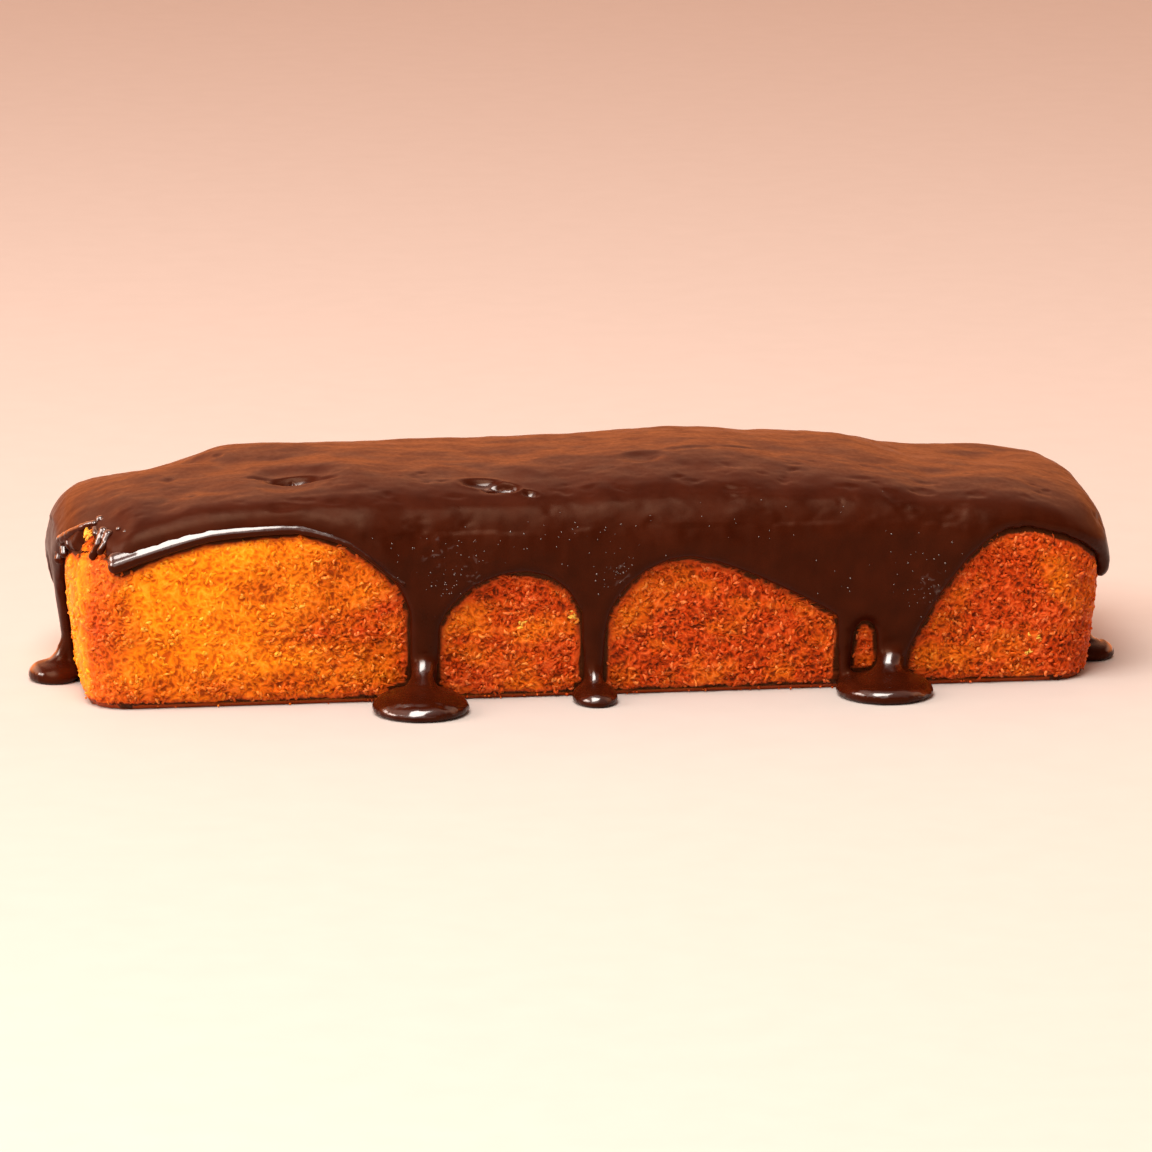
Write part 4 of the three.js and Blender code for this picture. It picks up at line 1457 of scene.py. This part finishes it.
@dataclass
class LipDribbles:
    """The long round bead of the front lip, and the torn edge beside its left end."""

    finish: GlazeFinish
    coverage: Coverage
    bead_start: Stop = (-132.2, -46.9, 41.0, 2.2)
    bead_ends: Span = (-126.0, -54.0)
    bead_radii: Span = (1.95, 0.7)
    bead_stops: int = 16
    bead_root: float = 0.35
    bead_rise: Span = (0.55, 0.70)
    look_from: float = -100.0
    look_heights: Point = (34.0, 54.0, 0.2)
    dribbles: tuple[Dribble, ...] = (
        Dribble(((-144.4, -12.5, 42.0, 1.6), (-144.6, -17.5, 42.4, 1.9), (-143.6, -21.5, 44.2, 1.7),
                 (-142.0, -25.0, 46.2, 1.4), (-140.2, -28.0, 48.0, 1.2), (-138.6, -29.8, 49.2, 1.0),
                 (-136.6, -31.4, 49.9, 0.9))),
        Dribble(((-145.0, -14.2, 40.0, 1.3), (-145.2, -14.6, 36.8, 1.7))),
        Dribble(((-144.6, -19.6, 41.4, 1.1), (-144.4, -20.8, 39.4, 1.2))),
        Dribble(((-143.6, -23.0, 43.6, 1.0), (-143.0, -24.0, 42.0, 0.9))),
        Dribble(((-134.6, -37.6, 48.8, 1.5), (-136.2, -38.4, 45.6, 1.2), (-137.8, -37.4, 42.0, 1.2))),
        Dribble(((-133.4, -40.0, 48.6, 1.4), (-134.8, -41.2, 45.8, 1.1), (-135.8, -41.0, 44.0, 1.0))),
        Dribble(((-137.0, -33.8, 49.0, 0.8), (-136.6, -36.0, 48.0, 1.0))),
        Dribble(((-135.1, -29.9, 50.9, 1.1),)),
        Dribble(((-134.2, -31.4, 50.5, 0.8),)),
        Dribble(((-130.9, -40.2, 49.8, 0.9),)),
        Dribble(((-129.2, -42.2, 49.4, 0.8),)),
    )
    step: float = 0.35
    voxel: float = 0.28 * MM
    smoothing: int = 14
    wrinkles: Lumps = Lumps(mm(2.2, 2.2, 2.2), 2, 8, 0.22 * MM)
    wrinkle_span: Span = mm(-45, -42)
    gloss_span: Span = (-0.1, 0.35)

    def build(self, group: bpy.types.NodeTree) -> bpy.types.Object:
        """Models and dresses the bead and the torn edge.

        Args:
            group: The group that gives set glaze its look.

        Returns:
            The piece.
        """
        ball, faces = small_ball(3)
        copies = []
        for dribble in (*self.dribbles, *self.long_bead()):
            for x, y, z, radius in self.beads(dribble):
                copies.append(np.array((x, y, z)) * MM + radius * MM * ball)
        piece = piece_of_copies("lip_dribbles", copies, faces)
        remesh_and_smooth(piece, self.voxel, self.smoothing)
        places = places_of(piece)
        wrinkles = self.wrinkles.at(places) * ease(places[:, 1], *self.wrinkle_span)
        move_to(piece, places + wrinkles[:, None] * outward_of(piece))
        smooth_shading(piece)
        paint_value(piece, "gloss", ease(outward_of(piece)[:, 2], *self.gloss_span))
        piece.data.materials.append(self.finish.material(group))
        return piece

    def long_bead(self) -> tuple[Dribble, Dribble]:
        """Follows the front lip with two runs side by side, which set as one bead with a broad face."""
        stops = [self.bead_start]
        places = np.linspace(*self.bead_ends, self.bead_stops)
        radii = np.linspace(*self.bead_radii, self.bead_stops)
        for x, radius in zip(places, radii):
            y, z = self.lip_at(x, radius)
            stops.append((x, y + self.bead_root * radius, z, radius))
        back, up = self.bead_rise
        raised = [(x, y + back * radius, z + up * radius, radius) for x, y, z, radius in stops]
        return Dribble(tuple(stops)), Dribble(tuple(raised))

    def lip_at(self, x: float, above: float) -> Span:
        """Finds the front lip at one place along the loaf, in millimetres.

        Args:
            x: The place along the loaf.
            above: How far above the lip's lower edge to look.

        Returns:
            The Y and the Z of the glaze's front, that far above the edge.
        """
        way = Vector((0.0, 1.0, 0.0))
        for z in np.arange(*self.look_heights):
            start = Vector(mm(x, self.look_from, z))
            glaze = self.coverage.glaze.ray_cast(start, way)
            loaf = self.coverage.loaf.ray_cast(start, way)
            if glaze[0] is not None and glaze[3] < loaf[3]:
                break
        front = self.coverage.glaze.ray_cast(start + Vector(mm(0.0, 0.0, above)), way)[0]
        return front.y / MM, z + above

    def beads(self, dribble: Dribble) -> np.ndarray:
        """Gives the places and radii of the beads that a dribble is joined from, in millimetres."""
        stops = np.array(dribble.path)
        beads = [stops[0]]
        for first, last in zip(stops, stops[1:]):
            length = np.linalg.norm(last[:3] - first[:3])
            parts = max(2, math.ceil(length / (self.step * min(first[3], last[3]))))
            beads.extend(first + (last - first) * i / parts for i in range(1, parts + 1))
        return np.array(beads)


@dataclass
class FootCrumbs:
    """Loose crumbs along the loaf's foot, all in one mesh."""

    finish: CrumbFinish
    tones: BakedTones
    count: int = 130
    radius: Span = mm(0.15, 0.42)
    stretch: Span = (0.7, 1.2)
    roughness: Span = (0.85, 1.15)
    rest_at: float = 0.8
    lift: float = 0.7 * MM
    scatter: float = 0.35 * MM
    tone: Span = (0.1, 0.7)
    browned_and_shaded: Span = (0.2, 0.95)
    half: Span = mm(139.6, 43.6)
    corner: float = 11.6 * MM
    seed: int = 31

    def build(self, group: bpy.types.NodeTree) -> bpy.types.Object:
        """Strews the crumbs round the foot and dresses them.

        Args:
            group: The group that colours baked crumb.

        Returns:
            The piece.
        """
        random = np.random.default_rng(self.seed)
        ball, faces = small_ball()
        copies = []
        for x, y in self.places(random):
            radius = random.uniform(*self.radius)
            stretched = ball * random.uniform(*self.stretch, 3)
            lumpy = stretched * random.uniform(*self.roughness, (len(ball), 1))
            height = self.rest_at * radius + random.uniform(0.0, self.lift)
            crumb = np.array((x, y, height)) + radius * lumpy
            crumb[:, 2] = np.maximum(crumb[:, 2], 0.0)
            copies.append(crumb)
        piece = piece_of_copies("foot_crumbs", copies, faces)
        tone = random.uniform(*self.tone, len(copies))
        browned_and_shaded = random.uniform(*self.browned_and_shaded, len(copies))
        golden_and_lit = self.tones.golden_and_lit(np.concatenate(copies))
        paint_crumb(piece, np.repeat(tone, len(ball)), golden_and_lit, np.repeat(browned_and_shaded, len(ball)))
        piece.data.materials.append(self.finish.material(group))
        return piece

    def places(self, random: np.random.Generator) -> np.ndarray:
        """Picks places along the rounded rectangle of the foot."""
        straight = (self.half[0] - self.corner, self.half[1] - self.corner)
        turn = random.uniform(0.0, 2 * math.pi, self.count)
        out = np.stack([np.cos(turn), np.sin(turn)], axis=1)
        along = random.uniform(-1.0, 1.0, self.count)
        beside = random.random(self.count) < straight[0] / (straight[0] + straight[1])
        places = np.where(
            beside[:, None],
            np.stack([along * straight[0], np.sign(out[:, 1]) * self.half[1]], axis=1),
            np.stack([np.sign(out[:, 0]) * self.half[0], along * straight[1]], axis=1),
        )
        return places + random.normal(0.0, self.scatter, places.shape)


@dataclass(frozen=True)
class Softbox:
    """A soft light that faces the cake: its place, its width and height, its power and its colour."""

    name: str
    place: Point
    size: Span
    power: float
    colour: Point

    def hang(self, target: Point) -> None:
        """Hangs the light up, turned to a target."""
        data = bpy.data.lights.new(self.name, "AREA")
        data.shape = "RECTANGLE"
        data.size, data.size_y = self.size
        data.energy = self.power
        data.color = self.colour
        light = bpy.data.objects.new(self.name, data)
        bpy.context.scene.collection.objects.link(light)
        light.location = self.place
        light.rotation_euler = (Vector(self.place) - Vector(target)).to_track_quat("Z", "Y").to_euler()


@dataclass
class Studio:
    """The camera, the soft lights and the pale floor."""

    target: Point = mm(1.37, 4.85, 23.48)
    distance: float = 1.96
    azimuth: float = -8.0
    elevation: float = 12.0
    lens: float = 217.2
    sensor: float = 36.0
    far: float = 100.0
    lights: tuple[Softbox, ...] = (
        Softbox("key_softbox", (-0.42, -0.80, 1.64), (1.06, 1.40), 50.0, (1.0, 0.96, 0.91)),
        Softbox("front_softbox", (-0.85, -1.70, 0.75), (2.00, 1.20), 9.0, (1.0, 0.95, 0.89)),
        Softbox("side_softbox", (-1.75, -0.25, 0.80), (1.00, 1.00), 27.0, (1.0, 0.94, 0.88)),
    )
    dim: Colour = (0.15, 0.124, 0.105, 1.0)
    backdrop: tuple[tuple[float, Colour], ...] = (
        (0.16, (1.0, 0.26, 0.07, 1.0)),
        (0.40, (0.98, 0.40, 0.21, 1.0)),
        (0.62, (0.86, 0.44, 0.29, 1.0)),
        (0.78, (0.50, 0.29, 0.21, 1.0)),
        (0.90, (0.34, 0.22, 0.17, 1.0)),
        (1.0, (0.16, 0.12, 0.10, 1.0)),
    )
    backdrop_span: Span = (-0.50, 0.20)
    strength_span: Span = (-0.35, 0.60)
    strength: Span = (2.45, 1.40)
    floor_half: float = 9.0
    floor_tints: tuple[Colour, Colour] = ((0.50, 0.44, 0.40, 1.0), (0.53, 0.47, 0.43, 1.0))
    floor_grain: float = 14 * MM
    floor_roughness: float = 0.8
    floor_height: float = -0.05 * MM

    def build(self) -> None:
        """Sets up everything that the cake is seen with."""
        self.place_camera()
        for light in self.lights:
            light.hang(self.target)
        self.fill_world()
        self.lay_floor()
        view = bpy.context.scene.view_settings
        view.view_transform = "Standard"
        view.look = "None"

    def place_camera(self) -> None:
        """Puts the camera where the photograph was taken from."""
        turn = math.radians(self.azimuth)
        rise = math.radians(self.elevation)
        level = math.cos(rise)
        back = Vector((math.sin(turn) * level, -math.cos(turn) * level, math.sin(rise)))
        data = bpy.data.cameras.new("camera")
        data.lens = self.lens
        data.sensor_width = self.sensor
        data.clip_end = self.far
        camera = bpy.data.objects.new("camera", data)
        bpy.context.scene.collection.objects.link(camera)
        camera.location = Vector(self.target) + self.distance * back
        camera.rotation_euler = back.to_track_quat("Z", "Y").to_euler()
        bpy.context.scene.camera = camera

    def fill_world(self) -> None:
        """Fills the room with dim soft light, and with a warm glow low down behind the cake."""
        world = bpy.data.worlds.new("room")
        world.use_nodes = True
        bpy.context.scene.world = world
        wiring = Wiring(world.node_tree)
        parts = wiring.add("ShaderNodeSeparateXYZ")
        wiring.feed(wiring.add("ShaderNodeTexCoord").outputs["Generated"], parts.inputs[0])
        ramp = wiring.add("ShaderNodeValToRGB")
        stops = ramp.color_ramp.elements
        for end, (position, colour) in zip(stops, (self.backdrop[0], self.backdrop[-1])):
            end.position = position
            end.color = colour
        for position, colour in self.backdrop[1:-1]:
            stops.new(position).color = colour
        wiring.feed(parts.outputs["Z"], ramp.inputs["Fac"])
        behind = wiring.add("ShaderNodeMapRange", interpolation_type="SMOOTHSTEP")
        wiring.feed_all(behind, {
            "Value": parts.outputs["Y"],
            "From Min": self.backdrop_span[0],
            "From Max": self.backdrop_span[1],
        })
        across = wiring.add("ShaderNodeMapRange")
        wiring.feed_all(across, {
            "Value": parts.outputs["X"],
            "From Min": self.strength_span[0],
            "From Max": self.strength_span[1],
            "To Min": self.strength[0],
            "To Max": self.strength[1],
        })
        wiring.feed_all(world.node_tree.nodes["Background"], {
            "Color": wiring.mix(behind.outputs["Result"], self.dim, ramp.outputs["Color"]),
            "Strength": across.outputs["Result"],
        })

    def lay_floor(self) -> None:
        """Lays the pale floor."""
        clear_selection()
        bpy.ops.mesh.primitive_grid_add(x_subdivisions=8, y_subdivisions=8, size=2 * self.floor_half)
        floor = bpy.context.object
        floor.name = "floor"
        material, wiring, shader = new_material("pale_floor")
        grain = wiring.noise(wiring.own_place(), self.floor_grain, 4.0)
        wiring.feed_all(shader, {
            "Base Color": wiring.mix(grain, *self.floor_tints),
            "Roughness": self.floor_roughness,
        })
        floor.data.materials.append(material)
        floor.location.z = self.floor_height


def hand_over(piece: bpy.types.Object) -> None:
    """Fixes a finished piece to the cake and reports it.

    Args:
        piece: The finished piece.
    """
    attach(piece, BODY)
    piece.data.calc_loop_triangles()
    LOG.info("%s: %d triangles", piece.name, len(piece.data.loop_triangles))


def main() -> None:
    """Builds the cake piece by piece."""
    logging.basicConfig(level=logging.INFO, format="%(name)s: %(message)s")
    # Without a seed, the bends of the ridges follow the clock.
    noise.seed_set(NOISE_SEED)
    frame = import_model()
    Studio().build()
    loaf = frame["nodes"]["cake"]
    glaze = frame["nodes"]["chocolate_glaze"]
    coverage = Coverage.between(loaf, glaze)
    tones = BakedTones()
    crumb_group = baked_crumb_group()
    skin_group = glaze_skin_group()

    crumb = CakeCrumb(loaf, coverage, tones, CrumbFinish("crumb"))
    hand_over(crumb.build(crumb_group))
    ground = BareGround.of(crumb)
    moist = CrumbFinish("pale_shred", roughness=0.30, specular=0.75)
    raw = CrumbFinish("raw_shred", tip=(0.95, 0.50, 0.08, 1.0))
    batches = (
        Shreds(ShredKind.PALE, moist, 1700, -0.3, 11, tone=(0.60, 0.95), length=mm(1.3, 2.8)),
        Shreds(ShredKind.ORANGE, CrumbFinish("orange_shred"), 3200, -0.4, 12, tone=(0.45, 0.75)),
        Shreds(ShredKind.BROWNED, CrumbFinish("browned_shred"), 2200, -0.7, 13, tone=(0.25, 0.55)),
        RawShreds(ShredKind.RAW, raw, 30, 0.0, 14, tone=(0.9, 1.0)),
    )
    for batch in batches:
        hand_over(batch.build(ground, coverage, tones, crumb_group))
    poured = PouredGlaze(glaze, coverage, GlazeFinish("glaze"))
    hand_over(poured.build(ground, skin_group))
    wet = GlazeFinish("wet_glaze")
    hand_over(LipDribbles(wet, coverage).build(skin_group))
    hand_over(GlazeBubbles(wet).build(poured, skin_group))
    hand_over(FootCrumbs(CrumbFinish("loose_crumb"), tones).build(crumb_group))


if __name__ == "__main__":
    main()
